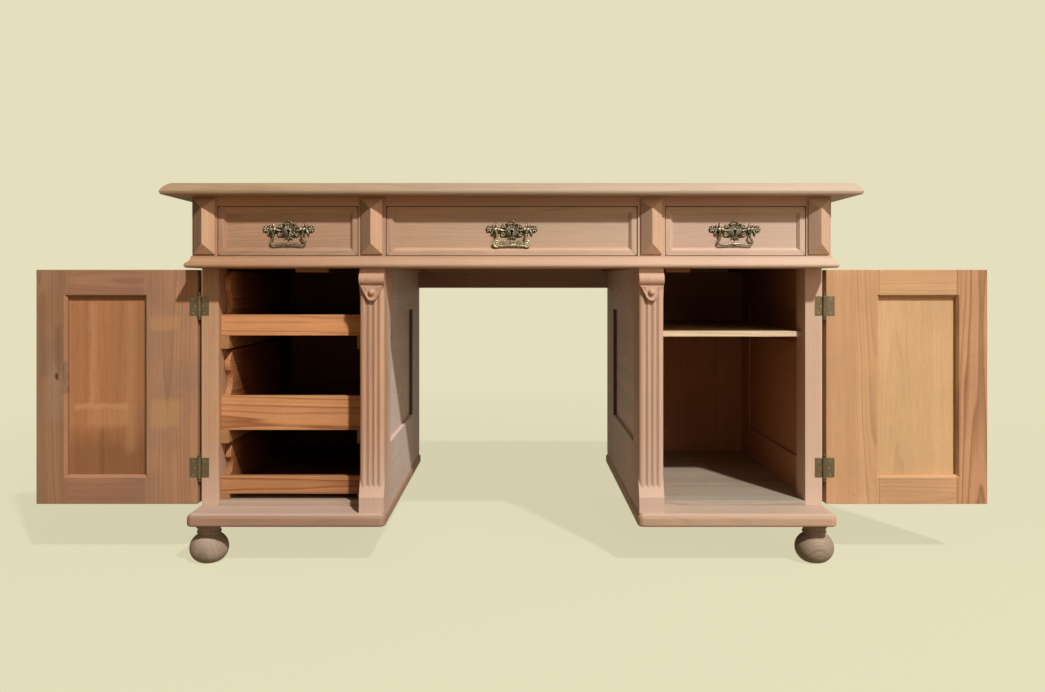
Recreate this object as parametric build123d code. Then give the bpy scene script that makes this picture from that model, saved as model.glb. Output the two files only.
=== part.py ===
from build123d import *
import os
from math import hypot, radians, tan

# A kneehole pedestal desk. Millimetres, X to the right, Y to the back, Z up.
# The origin is on the floor, below the middle of the top.

# Table top, and how far it stands out past the carcass
top_width = 1405.0
top_depth = 745.0
top_thickness = 24.0
top_overhang_side = 50.5
top_overhang_front = 45.0
top_overhang_back = 40.0
nosing_width = 18.0
nosing_height = 17.0
nosing_bulge = 2.4
nosing_undercut = 3.0

# Heights of the layers, from the floor up
foot_height = 85.0
plinth_height = 26.0
pedestal_height = 499.0
waist_height = 24.0
drawer_opening_height = 102.0
top_rail_height = 20.0

# Boards of the carcass
side_thickness = 24.0
frieze_board_thickness = 24.0
floor_thickness = 10.0
back_thickness = 18.0
panel_thickness = 9.0
panel_recess = 9.0
groove_depth = 8.0
groove_play = 0.2
tongue_play = 1.0

# Pedestals: clear width of the kneehole, and the fronts on each side of a cupboard
kneehole_width = 519.0
pilaster_width = 51.0
pilaster_depth = 58.0
door_post_width = 35.0
door_post_depth = 60.0
outer_rear_stile_width = 90.0
outer_rail_height = 85.0
inner_front_stile_width = 29.5
inner_rear_stile_width = 160.0
inner_top_rail_height = 97.0
inner_bottom_rail_height = 129.0
back_stile_width = 70.0

# Plinth slabs and turned feet
plinth_overhang_outer = 8.0
plinth_overhang_inner = 3.5
plinth_overhang_front = 18.0
plinth_corner_round = 13.0
plinth_top_round = 11.0
plinth_bottom_round = 5.0
foot_inset_side = 30.0
foot_inset_front = 57.5
foot_inset_back = 45.0
ball_radius = 39.5
ball_height = 60.0
ball_base_radius = 17.0
ball_top_radius = 23.0
foot_neck_radius = 22.5
foot_neck_height = 6.0
foot_flange_radius = 30.0
foot_flange_height = 9.0

# Frieze: posts, hipped blocks on them, waist moulding, kneehole apron
outer_post_width = 51.0
inner_post_width = 56.0
inner_post_overhang = 2.5
diamond_width = 43.0
diamond_foot_gap = 4.0
diamond_head_gap = 6.0
diamond_step = 4.0
diamond_rise = 14.0
diamond_ridge_width = 1.0
diamond_hip_length = 20.5
waist_projection = 13.0
waist_bead_height = 11.0
waist_bead_bulge = 4.0
waist_fillet = 2.0
waist_rail_depth = 84.0
apron_drop = 43.0

# Pilasters
pilaster_base_height = 45.0
pilaster_base_bevel = 9.0
pilaster_base_projection = 8.0
pilaster_neck_height = 11.0
roll_height = 25.0
roll_projection = 11.0
tongue_height = 32.0
tongue_margin = 1.5
tongue_foot_width = 14.0
tongue_round = 11.0
tongue_thickness = 6.0
boss_radius = 7.0
boss_drop = 14.0
flute_count = 3
flute_spacing = 11.7
flute_radius = 4.1
flute_end_margin = 6.0

# Drawers
drawer_back_gap = 76.0
drawer_gap = 0.8
drawer_front_thickness = 20.0
border_width = 17.0
border_bevel = 6.0
border_thickness = 7.0
drawer_set_back = 2.5
box_side_thickness = 12.0
box_side_height = 84.0
box_back_height = 66.0
box_bottom_thickness = 8.0
box_bottom_raise = 8.0
box_groove_depth = 5.0
tail_count = 3
tail_length = 12.0
tail_tip_width = 17.0
tail_slope_deg = 9.0
tail_play = 0.05
run_gap = 0.3
runner_ledge = 15.0
guide_height = 20.0
stop_length = 20.0
stop_height = 16.0
dust_board_thickness = 8.0

# Drop handles and drawer locks
keyhole_height = 51.0
plate_thickness = 2.0
plate_heart_radius = 17.0
plate_wing_radius = 11.0
plate_tip_radius = 6.0
plate_tip_reach = 47.0
plate_bridge_height = 12.0
keyhole_radius = 2.6
keyhole_slot_width = 2.6
keyhole_slot_length = 9.0
pivot_half_spacing = 33.0
lug_inset = 6.5
lug_radius = 3.0
lug_length = 10.0
pivot_reach = 8.0
pivot_raise = 4.0
pivot_pin_radius = 1.5
pivot_play = 0.05
bail_radius = 2.3
bail_eye_radius = 3.2
bail_waist = 4.0
bail_waist_drop = 13.0
bail_drop = 33.0
bail_flare = 0.5
bail_arch = 2.5
bail_eye_length = 5.0
lock_width = 50.0
lock_height = 68.0
lock_thickness = 12.0
lock_top_gap = 0.4
bolt_width = 18.0
bolt_thickness = 6.0
bolt_height = 30.0
bolt_throw = 8.0
bolt_play = 0.3
mortise_play = 1.0

# Doors and butt hinges. The doors stand open, turned right back beside the carcass.
door_thickness = 28.0
door_hinge_stile_width = 112.0
door_free_stile_width = 64.0
door_top_rail_height = 58.0
door_bottom_rail_height = 61.0
door_panel_thickness = 8.0
door_panel_recess = 12.0
door_chamfer = 3.0
door_bottom_gap = 3.0
door_top_gap = 3.0
door_pilaster_gap = 3.0
door_face_gap = 1.0
hinge_height = 41.0
hinge_spread = 340.0
hinge_axis_out = 5.0
hinge_edge_gap = 4.5
knuckle_radius = 4.2
knuckle_gap = 0.3
post_leaf_width = 15.0
door_leaf_width = 17.0
leaf_thickness = 1.5
leaf_proud = 0.3
leaf_play = 0.1
hinge_pin_radius = 2.0
pin_fit = 0.02
pin_play = 0.05
finial_radius = 3.4
finial_bevel = 1.8
finial_neck = 2.0
door_stop_height = 8.0
door_stop_depth = 22.0
left_stop_width = 68.0
left_stop_inset = 76.5
right_stop_width = 51.0
right_stop_inset = 13.5

# Trays of the left cupboard: two measured up from its floor, the high one down from the waist
tray_setback = 12.5
tray_back_gap = 24.5
tray_side_gap = 1.0
tray_board_thickness = 12.0
tray_front_thickness = 18.0
tray_bottom_thickness = 9.0
tray_back_height = 40.0
tray_scoop_depth = 22.0
tray_nose_setback = 9.0
tray_nose_length = 34.0
tray_runner_height = 28.0
tray_runner_inner_ledge = 17.0
tray_runner_outer_width = 18.0
tray_guide_height = 20.0
tray_head_gap = 5.0
low_tray_rise = 12.0
low_tray_front_height = 28.0
middle_tray_rise = 147.0
middle_tray_front_height = 63.0
high_tray_drop = 142.0
high_tray_front_height = 35.0

# Shelf of the right cupboard
shelf_rise = 344.0
shelf_thickness = 11.0
shelf_setback = 24.5
ledge_size = 15.0

# Levels worked out from the layers
plinth_z = foot_height
pedestal_z = plinth_z + plinth_height
waist_z = pedestal_z + pedestal_height
drawer_z = waist_z + waist_height
rail_z = drawer_z + drawer_opening_height
top_z = rail_z + top_rail_height
desk_height = top_z + top_thickness
floor_z = pedestal_z + floor_thickness

# Faces worked out from the top and its overhangs
frieze_front = top_overhang_front - top_depth / 2
carcass_rear = top_depth / 2 - top_overhang_back
carcass_half = top_width / 2 - top_overhang_side
field_y = frieze_front + drawer_set_back + border_thickness
post_plane = frieze_front + pilaster_depth
post_rear = post_plane + door_post_depth
waist_rear = frieze_front + waist_rail_depth
frieze_inside = carcass_rear - frieze_board_thickness
back_inside = carcass_rear - back_thickness
drawer_rear = frieze_inside - drawer_back_gap

# Right-hand cupboard, from the kneehole outwards
kneehole_half = kneehole_width / 2
inner_face = kneehole_half + side_thickness
pilaster_x = kneehole_half + pilaster_width
post_x = carcass_half - door_post_width
outer_face = carcass_half - side_thickness

# Drawer openings of the right half
inner_post_x = kneehole_half - inner_post_overhang
side_opening_start = inner_post_x + inner_post_width
side_opening_end = carcass_half - outer_post_width
partition_x = inner_post_x + (inner_post_width - frieze_board_thickness) / 2
partition_end = partition_x + frieze_board_thickness


def board(x0, x1, y0, y1, z0, z1):
    """A straight board between two opposite corners."""
    centre = Pos((x0 + x1) / 2, (y0 + y1) / 2, (z0 + z1) / 2)
    return centre * Box(x1 - x0, y1 - y0, z1 - z0)


def mirrored(pieces):
    """The same pieces on the other side of the desk."""
    return [mirror(piece, about=Plane.YZ) for piece in pieces]


def both_sides(pieces):
    return pieces + mirrored(pieces)


def turned_to_side(pieces):
    """Pieces drawn in a front view, set in a side wall: X and Y change places."""
    diagonal = Plane(origin=(0, 0, 0), z_dir=(1, -1, 0))
    return [mirror(piece, about=diagonal) for piece in pieces]


def save(name, pieces):
    solids = [solid for piece in pieces for solid in piece.solids()]
    export_step(Compound(solids), os.path.join("parts", name + ".step"))


def table_top():
    """Top with a gently rounded slope to the tip of all four edges, undercut below the tip."""

    def section(half):
        tip_z = desk_height - nosing_height
        flat = half - nosing_width
        slope = hypot(nosing_width, nosing_height)
        crown = half - nosing_width / 2 + nosing_bulge * nosing_height / slope
        crown_z = desk_height - nosing_height / 2 + nosing_bulge * nosing_width / slope
        under = half - nosing_undercut
        edges = [Line((-flat, desk_height), (flat, desk_height)), Line((-under, top_z), (under, top_z))]
        for side in (-1, 1):
            tip = (side * half, tip_z)
            edges.append(ThreePointArc(tip, (side * crown, crown_z), (side * flat, desk_height)))
            edges.append(TangentArc(tip, (side * under, top_z), tangent=(0, -1)))
        return make_face(edges)

    across = extrude(Plane.XZ * section(top_width / 2), amount=top_depth, both=True)
    along = extrude(Plane.YZ * section(top_depth / 2), amount=top_width, both=True)
    return [across & along]


def frame_boards(u0, u1, v0, v1, w0, w1, low, high, left, right, groove_start, groove_width):
    """A grooved frame in front view: u across, v up, w through its thickness.

    A width of zero leaves that board out, where a post stands in its place.
    """
    inside_u = (u0 + left, u1 - right)
    inside_v = (v0 + low, v1 - high)
    boards = [
        board(inside_u[0], inside_u[1], w0, w1, v0, inside_v[0]),
        board(inside_u[0], inside_u[1], w0, w1, inside_v[1], v1),
    ]
    if left:
        boards.append(board(u0, inside_u[0], w0, w1, v0, v1))
    if right:
        boards.append(board(inside_u[1], u1, w0, w1, v0, v1))
    groove = board(
        inside_u[0] - groove_depth,
        inside_u[1] + groove_depth,
        groove_start - groove_play,
        groove_start + groove_width + groove_play,
        inside_v[0] - groove_depth,
        inside_v[1] + groove_depth,
    )
    return [piece - groove for piece in boards], inside_u, inside_v, groove


def frame_panel(inside_u, inside_v, start, thickness):
    """The panel that floats in the grooves of a frame."""
    tongue = groove_depth - tongue_play
    return board(
        inside_u[0] - tongue,
        inside_u[1] + tongue,
        start,
        start + thickness,
        inside_v[0] - tongue,
        inside_v[1] + tongue,
    )


def outer_side():
    """Outer wall of the right pedestal: two rails and a rear stile behind the door post."""
    panel_start = carcass_half - panel_recess - panel_thickness
    boards, inside_u, inside_v, groove = frame_boards(
        post_rear, carcass_rear, pedestal_z, waist_z, outer_face, carcass_half,
        outer_rail_height, outer_rail_height, 0, outer_rear_stile_width, panel_start, panel_thickness,
    )
    panel = frame_panel(inside_u, inside_v, panel_start, panel_thickness)
    return turned_to_side(boards), turned_to_side([panel]), turned_to_side([groove])[0]


def inner_side():
    """Kneehole wall of the right pedestal, a full frame behind the pilaster."""
    panel_start = kneehole_half + panel_recess
    boards, inside_u, inside_v, _ = frame_boards(
        post_plane, carcass_rear, pedestal_z, waist_z, kneehole_half, inner_face,
        inner_bottom_rail_height, inner_top_rail_height, inner_front_stile_width, inner_rear_stile_width,
        panel_start, panel_thickness,
    )
    panel = frame_panel(inside_u, inside_v, panel_start, panel_thickness)
    return turned_to_side(boards), turned_to_side([panel])


def pedestal_back():
    """Framed back of the right pedestal, between its two side walls."""
    panel_start = back_inside + (back_thickness - panel_thickness) / 2
    boards, inside_u, inside_v, _ = frame_boards(
        inner_face, outer_face, pedestal_z, waist_z, back_inside, carcass_rear,
        back_stile_width, back_stile_width, back_stile_width, back_stile_width, panel_start, panel_thickness,
    )
    return boards + [frame_panel(inside_u, inside_v, panel_start, panel_thickness)]


def hinge_levels():
    middle = pedestal_z + (door_bottom_gap + pedestal_height - door_top_gap) / 2
    return (middle - hinge_spread / 2, middle + hinge_spread / 2)


def leaf_recesses(x0, x1):
    """Shallow mortises that let hinge leaves into a front face in the post plane."""
    depth = leaf_thickness - leaf_proud
    half = hinge_height / 2 + leaf_play
    return [
        board(x0, x1, post_plane - depth, post_plane + depth + leaf_play, level - half, level + half)
        for level in hinge_levels()
    ]


def door_post(panel_groove):
    """Front post that carries the hinges, grooved at its back for the side panel."""
    post = board(post_x, carcass_half, post_plane, post_rear, pedestal_z, waist_z) - panel_groove
    hinge_x = carcass_half + hinge_axis_out
    first = hinge_x - hinge_edge_gap - post_leaf_width - leaf_play
    for recess in leaf_recesses(first, hinge_x):
        post -= recess
    return post


def pedestal_floor():
    """Floor board, notched round the door post."""
    floor = board(inner_face, outer_face, post_plane, back_inside, pedestal_z, floor_z)
    return floor - board(post_x, outer_face, post_plane, post_rear, pedestal_z, floor_z)


def plinth():
    """Slab under the right pedestal with rounded front corners, and rounded front and side edges."""
    slab = board(
        kneehole_half - plinth_overhang_inner,
        carcass_half + plinth_overhang_outer,
        frieze_front - plinth_overhang_front,
        carcass_rear,
        plinth_z,
        pedestal_z,
    )

    slab = fillet(slab.edges().filter_by(Axis.Z).sort_by(Axis.Y)[:2], plinth_corner_round)

    def moulded_edges(level):
        flat = slab.edges().filter_by_position(Axis.Z, level, level)
        return [edge for edge in flat if edge.center().Y < carcass_rear]

    slab = fillet(moulded_edges(pedestal_z), plinth_top_round)
    return fillet(moulded_edges(plinth_z), plinth_bottom_round)


def ball_feet():
    """Four turned feet: flattened ball and neck, with a flange under the plinth."""
    neck_z = ball_height + foot_neck_height
    flange_z = foot_height - foot_flange_height
    outline = [
        Line((0, 0), (ball_base_radius, 0)),
        ThreePointArc((ball_base_radius, 0), (ball_radius, ball_height / 2), (ball_top_radius, ball_height)),
        Line((ball_top_radius, ball_height), (foot_neck_radius, neck_z)),
        Line((foot_neck_radius, neck_z), (foot_flange_radius, flange_z)),
        Line((foot_flange_radius, flange_z), (foot_flange_radius, foot_height)),
        Line((foot_flange_radius, foot_height), (0, foot_height)),
        Line((0, foot_height), (0, 0)),
    ]
    foot = revolve(Plane.XZ * make_face(outline), axis=Axis.Z)
    foot_x = carcass_half + plinth_overhang_outer - foot_inset_side
    front_y = frieze_front - plinth_overhang_front + foot_inset_front
    back_y = carcass_rear - foot_inset_back
    return [Pos(x, y, 0) * foot for x in (-foot_x, foot_x) for y in (front_y, back_y)]


def pilaster():
    """Fluted pilaster: base block, shaft, tongue plate with a boss, roll capital and neck."""
    middle = (kneehole_half + pilaster_x) / 2
    base_front = frieze_front - pilaster_base_projection
    base_z = pedestal_z + pilaster_base_height
    neck_z = waist_z - pilaster_neck_height
    roll_z = neck_z - roll_height
    tongue_z = roll_z - tongue_height

    base_outline = Polyline(
        (base_front, pedestal_z), (post_plane, pedestal_z), (post_plane, base_z + pilaster_base_bevel),
        (frieze_front, base_z + pilaster_base_bevel), (base_front, base_z), close=True,
    )
    base = extrude(Plane.YZ.offset(kneehole_half) * make_face(base_outline), amount=pilaster_width)

    shaft_z = base_z + pilaster_base_bevel
    shaft = board(kneehole_half, pilaster_x, frieze_front, post_plane, shaft_z, neck_z)
    flute_z0 = shaft_z + flute_end_margin + flute_radius
    flute_z1 = tongue_z - flute_end_margin - flute_radius
    flute_height = flute_z1 - flute_z0
    for place in range(flute_count):
        x = middle + (place - (flute_count - 1) / 2) * flute_spacing
        shaft -= Pos(x, frieze_front, (flute_z0 + flute_z1) / 2) * Cylinder(flute_radius, flute_height)
        shaft -= Pos(x, frieze_front, flute_z0) * Sphere(flute_radius)
        shaft -= Pos(x, frieze_front, flute_z1) * Sphere(flute_radius)

    roll_outline = [
        Line((frieze_front, roll_z), (frieze_front, neck_z)),
        ThreePointArc((frieze_front, neck_z), (frieze_front - roll_projection, roll_z + roll_height / 2),
                      (frieze_front, roll_z)),
    ]
    roll = extrude(Plane.YZ.offset(kneehole_half) * make_face(roll_outline), amount=pilaster_width)

    neck = board(kneehole_half, pilaster_x, frieze_front, post_plane, neck_z, waist_z)

    half = pilaster_width / 2 - tongue_margin
    foot_half = tongue_foot_width / 2
    tongue_face = make_face(Polyline(
        (middle - half, roll_z), (middle + half, roll_z), (middle + foot_half, tongue_z),
        (middle - foot_half, tongue_z), close=True,
    ))
    tongue_face = fillet(tongue_face.vertices().sort_by(Axis.Y)[:2], tongue_round)
    tongue = extrude(Plane.XZ.offset(-frieze_front) * tongue_face, amount=tongue_thickness)

    boss_y = frieze_front - tongue_thickness
    ball = Pos(middle, boss_y, roll_z - boss_drop) * Sphere(boss_radius)
    front_half = board(
        middle - boss_radius, middle + boss_radius, boss_y - boss_radius, boss_y,
        roll_z - boss_drop - boss_radius, roll_z - boss_drop + boss_radius,
    )
    return [base, shaft, roll, neck, tongue, ball & front_half]


def frieze_posts():
    """Four front posts between the waist rail and the top."""
    inner = board(inner_post_x, side_opening_start, frieze_front, post_plane, drawer_z, top_z)
    outer = board(side_opening_end, carcass_half, frieze_front, post_plane, drawer_z, top_z)
    return both_sides([inner, outer])


def post_diamonds():
    """Tall hipped block on each post: a flat step, then four slopes up to an upright ridge."""
    z0 = drawer_z + diamond_foot_gap
    z1 = top_z - diamond_head_gap
    height = z1 - z0
    step_y = frieze_front - diamond_step
    blocks = []
    for x in ((inner_post_x + side_opening_start) / 2, (side_opening_end + carcass_half) / 2):
        foot = Plane(origin=(x, step_y, (z0 + z1) / 2), x_dir=(1, 0, 0), z_dir=(0, -1, 0))
        ridge = Rectangle(diamond_ridge_width, height - 2 * diamond_hip_length)
        hips = loft([foot * Rectangle(diamond_width, height), foot.offset(diamond_rise) * ridge], ruled=True)
        step = board(x - diamond_width / 2, x + diamond_width / 2, step_y, frieze_front, z0, z1)
        blocks.append(hips + step)
    return both_sides(blocks)


def frieze_top_rail():
    """Thin rail over the drawers, in three lengths, each with a mortise for a lock bolt."""
    lengths = [
        (-side_opening_end, -side_opening_start),
        (-inner_post_x, inner_post_x),
        (side_opening_start, side_opening_end),
    ]
    bolt_y = lock_middle_y()
    half_width = bolt_width / 2 + mortise_play
    half_depth = bolt_thickness / 2 + mortise_play
    rails = []
    for x0, x1 in lengths:
        middle = (x0 + x1) / 2
        mortise = board(
            middle - half_width, middle + half_width, bolt_y - half_depth, bolt_y + half_depth,
            rail_z, rail_z + bolt_throw + mortise_play,
        )
        rails.append(board(x0, x1, frieze_front, post_plane, rail_z, top_z) - mortise)
    return rails


def frieze_sides():
    return both_sides([board(outer_face, carcass_half, post_plane, carcass_rear, drawer_z, top_z)])


def frieze_back():
    """Back board of the frieze, rail below it, and the apron that hangs in the kneehole."""
    return [
        board(-outer_face, outer_face, frieze_inside, carcass_rear, drawer_z, top_z),
        board(-carcass_half, carcass_half, frieze_inside, carcass_rear, waist_z, drawer_z),
        board(-kneehole_half, kneehole_half, frieze_inside, carcass_rear, waist_z - apron_drop, waist_z),
    ]


def frieze_partitions():
    return both_sides([board(partition_x, partition_end, post_plane, frieze_inside, drawer_z, top_z)])


def drawer_runners():
    """Runners under the drawers' sides, guides beside them and stops behind them."""
    outer_start = side_opening_end - runner_ledge
    inner_start = inner_post_x - runner_ledge
    inner_end = side_opening_start + runner_ledge
    guide_z = drawer_z + guide_height
    stop_y = drawer_rear + run_gap
    pieces = [
        board(outer_start, carcass_half, waist_rear, frieze_inside, waist_z, drawer_z),
        board(inner_start, inner_end, waist_rear, frieze_inside, waist_z, drawer_z),
        board(side_opening_end, outer_face, post_plane, frieze_inside, drawer_z, guide_z),
        board(partition_end, side_opening_start, post_plane, frieze_inside, drawer_z, guide_z),
        board(inner_post_x, partition_x, post_plane, frieze_inside, drawer_z, guide_z),
    ]
    ledges = ((outer_start, side_opening_end), (side_opening_start, inner_end), (inner_start, inner_post_x))
    for x0, x1 in ledges:
        pieces.append(board(x0, x1, stop_y, stop_y + stop_length, drawer_z, drawer_z + stop_height))
    return both_sides(pieces)


def drawer_kickers():
    """Strips under the top that keep a pulled drawer from tipping."""
    spans = [
        (side_opening_end - runner_ledge, outer_face),
        (partition_end, side_opening_start + runner_ledge),
        (inner_post_x - runner_ledge, partition_x),
    ]
    return both_sides([board(x0, x1, post_plane, frieze_inside, rail_z, top_z) for x0, x1 in spans])


def dust_boards():
    """Thin boards that close the frieze between the runners."""
    inner_start = inner_post_x - runner_ledge
    inner_end = side_opening_start + runner_ledge
    outer_start = side_opening_end - runner_ledge
    z0 = waist_z + (waist_height - dust_board_thickness) / 2
    z1 = z0 + dust_board_thickness
    side = board(inner_end, outer_start, waist_rear, frieze_inside, z0, z1)
    centre = board(-inner_start, inner_start, waist_rear, frieze_inside, z0, z1)
    return both_sides([side]) + [centre]


def waist_moulding():
    """Moulded rail between pedestals and frieze, with mitred strips along the sides.

    The moulding is a small fillet, a hollow sweeping out, and a bead at the bottom.
    """

    def section(face, back):
        tip = face + waist_projection
        bead_z = waist_z + waist_bead_height
        bead_back = tip - waist_bead_bulge
        fillet_out = face + waist_fillet
        return make_face([
            Line((back, waist_z), (bead_back, waist_z)),
            ThreePointArc((bead_back, waist_z), (tip, waist_z + waist_bead_height / 2), (bead_back, bead_z)),
            TangentArc((fillet_out, drawer_z), (bead_back, bead_z), tangent=(0, -1)),
            Line((fillet_out, drawer_z), (back, drawer_z)),
            Line((back, drawer_z), (back, waist_z)),
        ])

    front_tip = frieze_front - waist_projection
    side_tip = carcass_half + waist_projection
    front_plan = Polyline(
        (-side_tip, front_tip), (side_tip, front_tip), (carcass_half, frieze_front),
        (carcass_half, waist_rear), (-carcass_half, waist_rear), (-carcass_half, frieze_front), close=True,
    )
    side_plan = Polyline(
        (side_tip, front_tip), (side_tip, carcass_rear), (carcass_half, carcass_rear),
        (carcass_half, frieze_front), close=True,
    )
    toward_front = Plane(origin=(0, 0, 0), x_dir=(0, -1, 0), z_dir=(-1, 0, 0))
    front = extrude(toward_front * section(-frieze_front, -waist_rear), amount=side_tip, both=True)
    front &= extrude(Pos(0, 0, waist_z) * make_face(front_plan), amount=waist_height)
    side = extrude(Plane.XZ * section(carcass_half, carcass_half), amount=top_depth, both=True)
    side &= extrude(Pos(0, 0, waist_z) * make_face(side_plan), amount=waist_height)
    return [front] + both_sides([side])


def lock_middle_y():
    return field_y + drawer_front_thickness + lock_thickness / 2


def drawer_front(x0, x1):
    """Front board with four mitred border mouldings, bevelled towards the sunk field."""
    fx0 = x0 + drawer_gap
    fx1 = x1 - drawer_gap
    z0 = drawer_z + drawer_gap
    z1 = rail_z - drawer_gap
    middle_x = (x0 + x1) / 2
    middle_z = (z0 + z1) / 2
    width = fx1 - fx0
    height = z1 - z0
    face = board(fx0, fx1, field_y, field_y + drawer_front_thickness, z0, z1)
    face -= keyhole(middle_x, field_y, drawer_front_thickness)
    for socket in dovetails(fx0, 1, tail_play) + dovetails(fx1, -1, tail_play):
        face -= socket

    ring = board(fx0, fx1, field_y - border_thickness, field_y, z0, z1)
    back = Plane(origin=(middle_x, field_y, middle_z), x_dir=(1, 0, 0), z_dir=(0, -1, 0))
    field = back * Rectangle(width - 2 * border_width, height - 2 * border_width)
    flat = border_width - border_bevel
    mouth = back.offset(border_thickness) * Rectangle(width - 2 * flat, height - 2 * flat)
    ring -= loft([field, mouth], ruled=True)

    reach = height / 2
    left = Polyline((fx0, z0), (fx0 + reach, z0 + reach), (fx0, z1), close=True)
    right = Polyline((fx1, z0), (fx1 - reach, z0 + reach), (fx1, z1), close=True)
    low = Polyline((fx0, z0), (fx1, z0), (fx1 - reach, z0 + reach), (fx0 + reach, z0 + reach), close=True)
    high = Polyline((fx0, z1), (fx1, z1), (fx1 - reach, z0 + reach), (fx0 + reach, z0 + reach), close=True)
    borders = [
        ring & extrude(Plane.XZ.offset(-field_y) * make_face(plan), amount=border_thickness)
        for plan in (left, right, low, high)
    ]
    return [face] + borders


def dovetails(edge_x, inward, play):
    """Tails of one drawer side, lapped into the back of the front from its end at edge_x."""
    root_y = field_y + drawer_front_thickness
    tip_y = root_y - tail_length - play
    z0 = drawer_z + run_gap
    pitch = box_side_height / tail_count
    half_tip = tail_tip_width / 2 + play
    half_root = half_tip - tail_length * tan(radians(tail_slope_deg))
    depth = drawer_gap + box_side_thickness + play
    tails = []
    for place in range(tail_count):
        z = z0 + pitch * (place + 0.5)
        outline = Polyline(
            (root_y, z - half_root), (tip_y, z - half_tip), (tip_y, z + half_tip), (root_y, z + half_root),
            close=True,
        )
        tails.append(extrude(Plane.YZ.offset(edge_x) * make_face(outline), amount=inward * depth))
    return tails


def drawer_box(x0, x1):
    """Two dovetailed sides grooved for the bottom, a bottom board and a low back."""
    sx0 = x0 + drawer_gap
    sx1 = x1 - drawer_gap
    root_y = field_y + drawer_front_thickness
    z0 = drawer_z + run_gap
    bottom_z = z0 + box_bottom_raise
    bottom_top = bottom_z + box_bottom_thickness
    inside = (sx0 + box_side_thickness, sx1 - box_side_thickness)
    groove = board(
        inside[0] - box_groove_depth, inside[1] + box_groove_depth, root_y, drawer_rear,
        bottom_z - groove_play, bottom_top + groove_play,
    )
    sides = []
    for start, end, edge, inward in ((sx0, inside[0], sx0, 1), (inside[1], sx1, sx1, -1)):
        side = board(start, end, root_y, drawer_rear, z0, z0 + box_side_height) - groove
        for tail in dovetails(edge, inward, 0):
            side += tail & board(start, end, root_y - tail_length, root_y, z0, z0 + box_side_height)
        sides.append(side)
    tongue = box_groove_depth - tongue_play
    bottom = board(inside[0] - tongue, inside[1] + tongue, root_y, drawer_rear, bottom_z, bottom_top)
    back_z = bottom_top + groove_play
    back_y = drawer_rear - box_side_thickness
    back = board(inside[0], inside[1], back_y, drawer_rear, back_z, back_z + box_back_height)
    return sides + [bottom, back]


def keyhole(x, front_y, depth):
    """Keyhole cutter: a round eye over a slot, run back from front_y."""
    z = drawer_z + keyhole_height
    eye = Pos(x, z) * Circle(keyhole_radius)
    slot = Pos(x, z - keyhole_slot_length / 2) * Rectangle(keyhole_slot_width, keyhole_slot_length)
    return extrude(Plane.XZ.offset(-front_y) * (eye + slot), amount=-depth)


def pivot_place():
    """Depth and height of the axis that a bail swings on."""
    plate_front = field_y - plate_thickness
    return plate_front - pivot_reach, drawer_z + keyhole_height + pivot_raise


def handle_plate(x):
    """Shaped back plate with a heart round the keyhole, two wings, and a drilled lug on each wing."""
    pivot_y, pivot_z = pivot_place()
    key_z = drawer_z + keyhole_height
    outline = Pos(x, key_z) * Circle(plate_heart_radius)
    outline += Pos(x, key_z) * Rectangle(2 * pivot_half_spacing, plate_bridge_height)
    lugs = []
    for side in (-1, 1):
        lug_x = x + side * (pivot_half_spacing - lug_inset)
        outline += Pos(lug_x, pivot_z) * Circle(plate_wing_radius)
        outline += Pos(x + side * plate_tip_reach, key_z) * Circle(plate_tip_radius)
        outline += Pos(x + side * plate_tip_reach / 2, key_z) * Rectangle(plate_tip_reach, plate_tip_radius)
        lug = Plane.XZ.offset(plate_thickness - field_y) * Pos(lug_x, pivot_z) * Circle(lug_radius)
        lugs.append(extrude(lug, amount=lug_length))
    plate = extrude(Plane.XZ.offset(-field_y) * outline, amount=plate_thickness)
    for lug in lugs:
        plate += lug
    reach = 2 * pivot_half_spacing
    plate -= Pos(x, pivot_y, pivot_z) * Rot(0, 90, 0) * Cylinder(pivot_pin_radius + pivot_play, reach)
    return [plate - keyhole(x, field_y - plate_thickness, plate_thickness)]


def handle_bail(x):
    """Drop handle: drawn in at its waist, flared at the foot, with a slightly arched grip."""
    pivot_y, pivot_z = pivot_place()
    waist_x = pivot_half_spacing - bail_waist
    foot_x = pivot_half_spacing + bail_flare
    right = [
        (pivot_half_spacing, 0),
        (waist_x, -bail_waist_drop),
        (foot_x, -bail_drop),
        (0, bail_arch - bail_drop),
    ]
    left = [(-u, v) for u, v in reversed(right[:-1])]
    place = Plane(origin=(x, pivot_y, pivot_z), x_dir=(1, 0, 0), z_dir=(0, -1, 0))
    path = place * Polyline(*(right + left))
    start = Plane(origin=path @ 0, z_dir=path % 0)
    bail = sweep(start * Circle(bail_radius), path=path, transition=Transition.RIGHT)
    pin_end = pivot_half_spacing - lug_inset - lug_radius
    pin_length = pivot_half_spacing - pin_end
    pin = Rot(0, 90, 0) * Cylinder(pivot_pin_radius, pin_length)
    for side in (-1, 1):
        eye = Pos(x + side * pivot_half_spacing, pivot_y, pivot_z)
        bail += eye * Rot(0, 90, 0) * Cylinder(bail_eye_radius, bail_eye_length)
        bail += eye * Pos(-side * pin_length / 2, 0, 0) * pin
    return [bail]


def drawer_lock(x):
    """Lock case behind the drawer front, with a channel for the bolt, and the bolt itself."""
    case_y = field_y + drawer_front_thickness
    top = rail_z - drawer_gap - lock_top_gap
    half = lock_width / 2
    case = board(x - half, x + half, case_y, case_y + lock_thickness, top - lock_height, top)
    middle_y = lock_middle_y()
    half_bolt = bolt_width / 2
    half_thick = bolt_thickness / 2
    bolt_foot = top - bolt_height
    bolt = board(x - half_bolt, x + half_bolt, middle_y - half_thick, middle_y + half_thick, bolt_foot, top)
    case -= board(
        x - half_bolt - bolt_play, x + half_bolt + bolt_play,
        middle_y - half_thick - bolt_play, middle_y + half_thick + bolt_play,
        bolt_foot - bolt_play, top,
    )
    return [case], [bolt]


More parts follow.
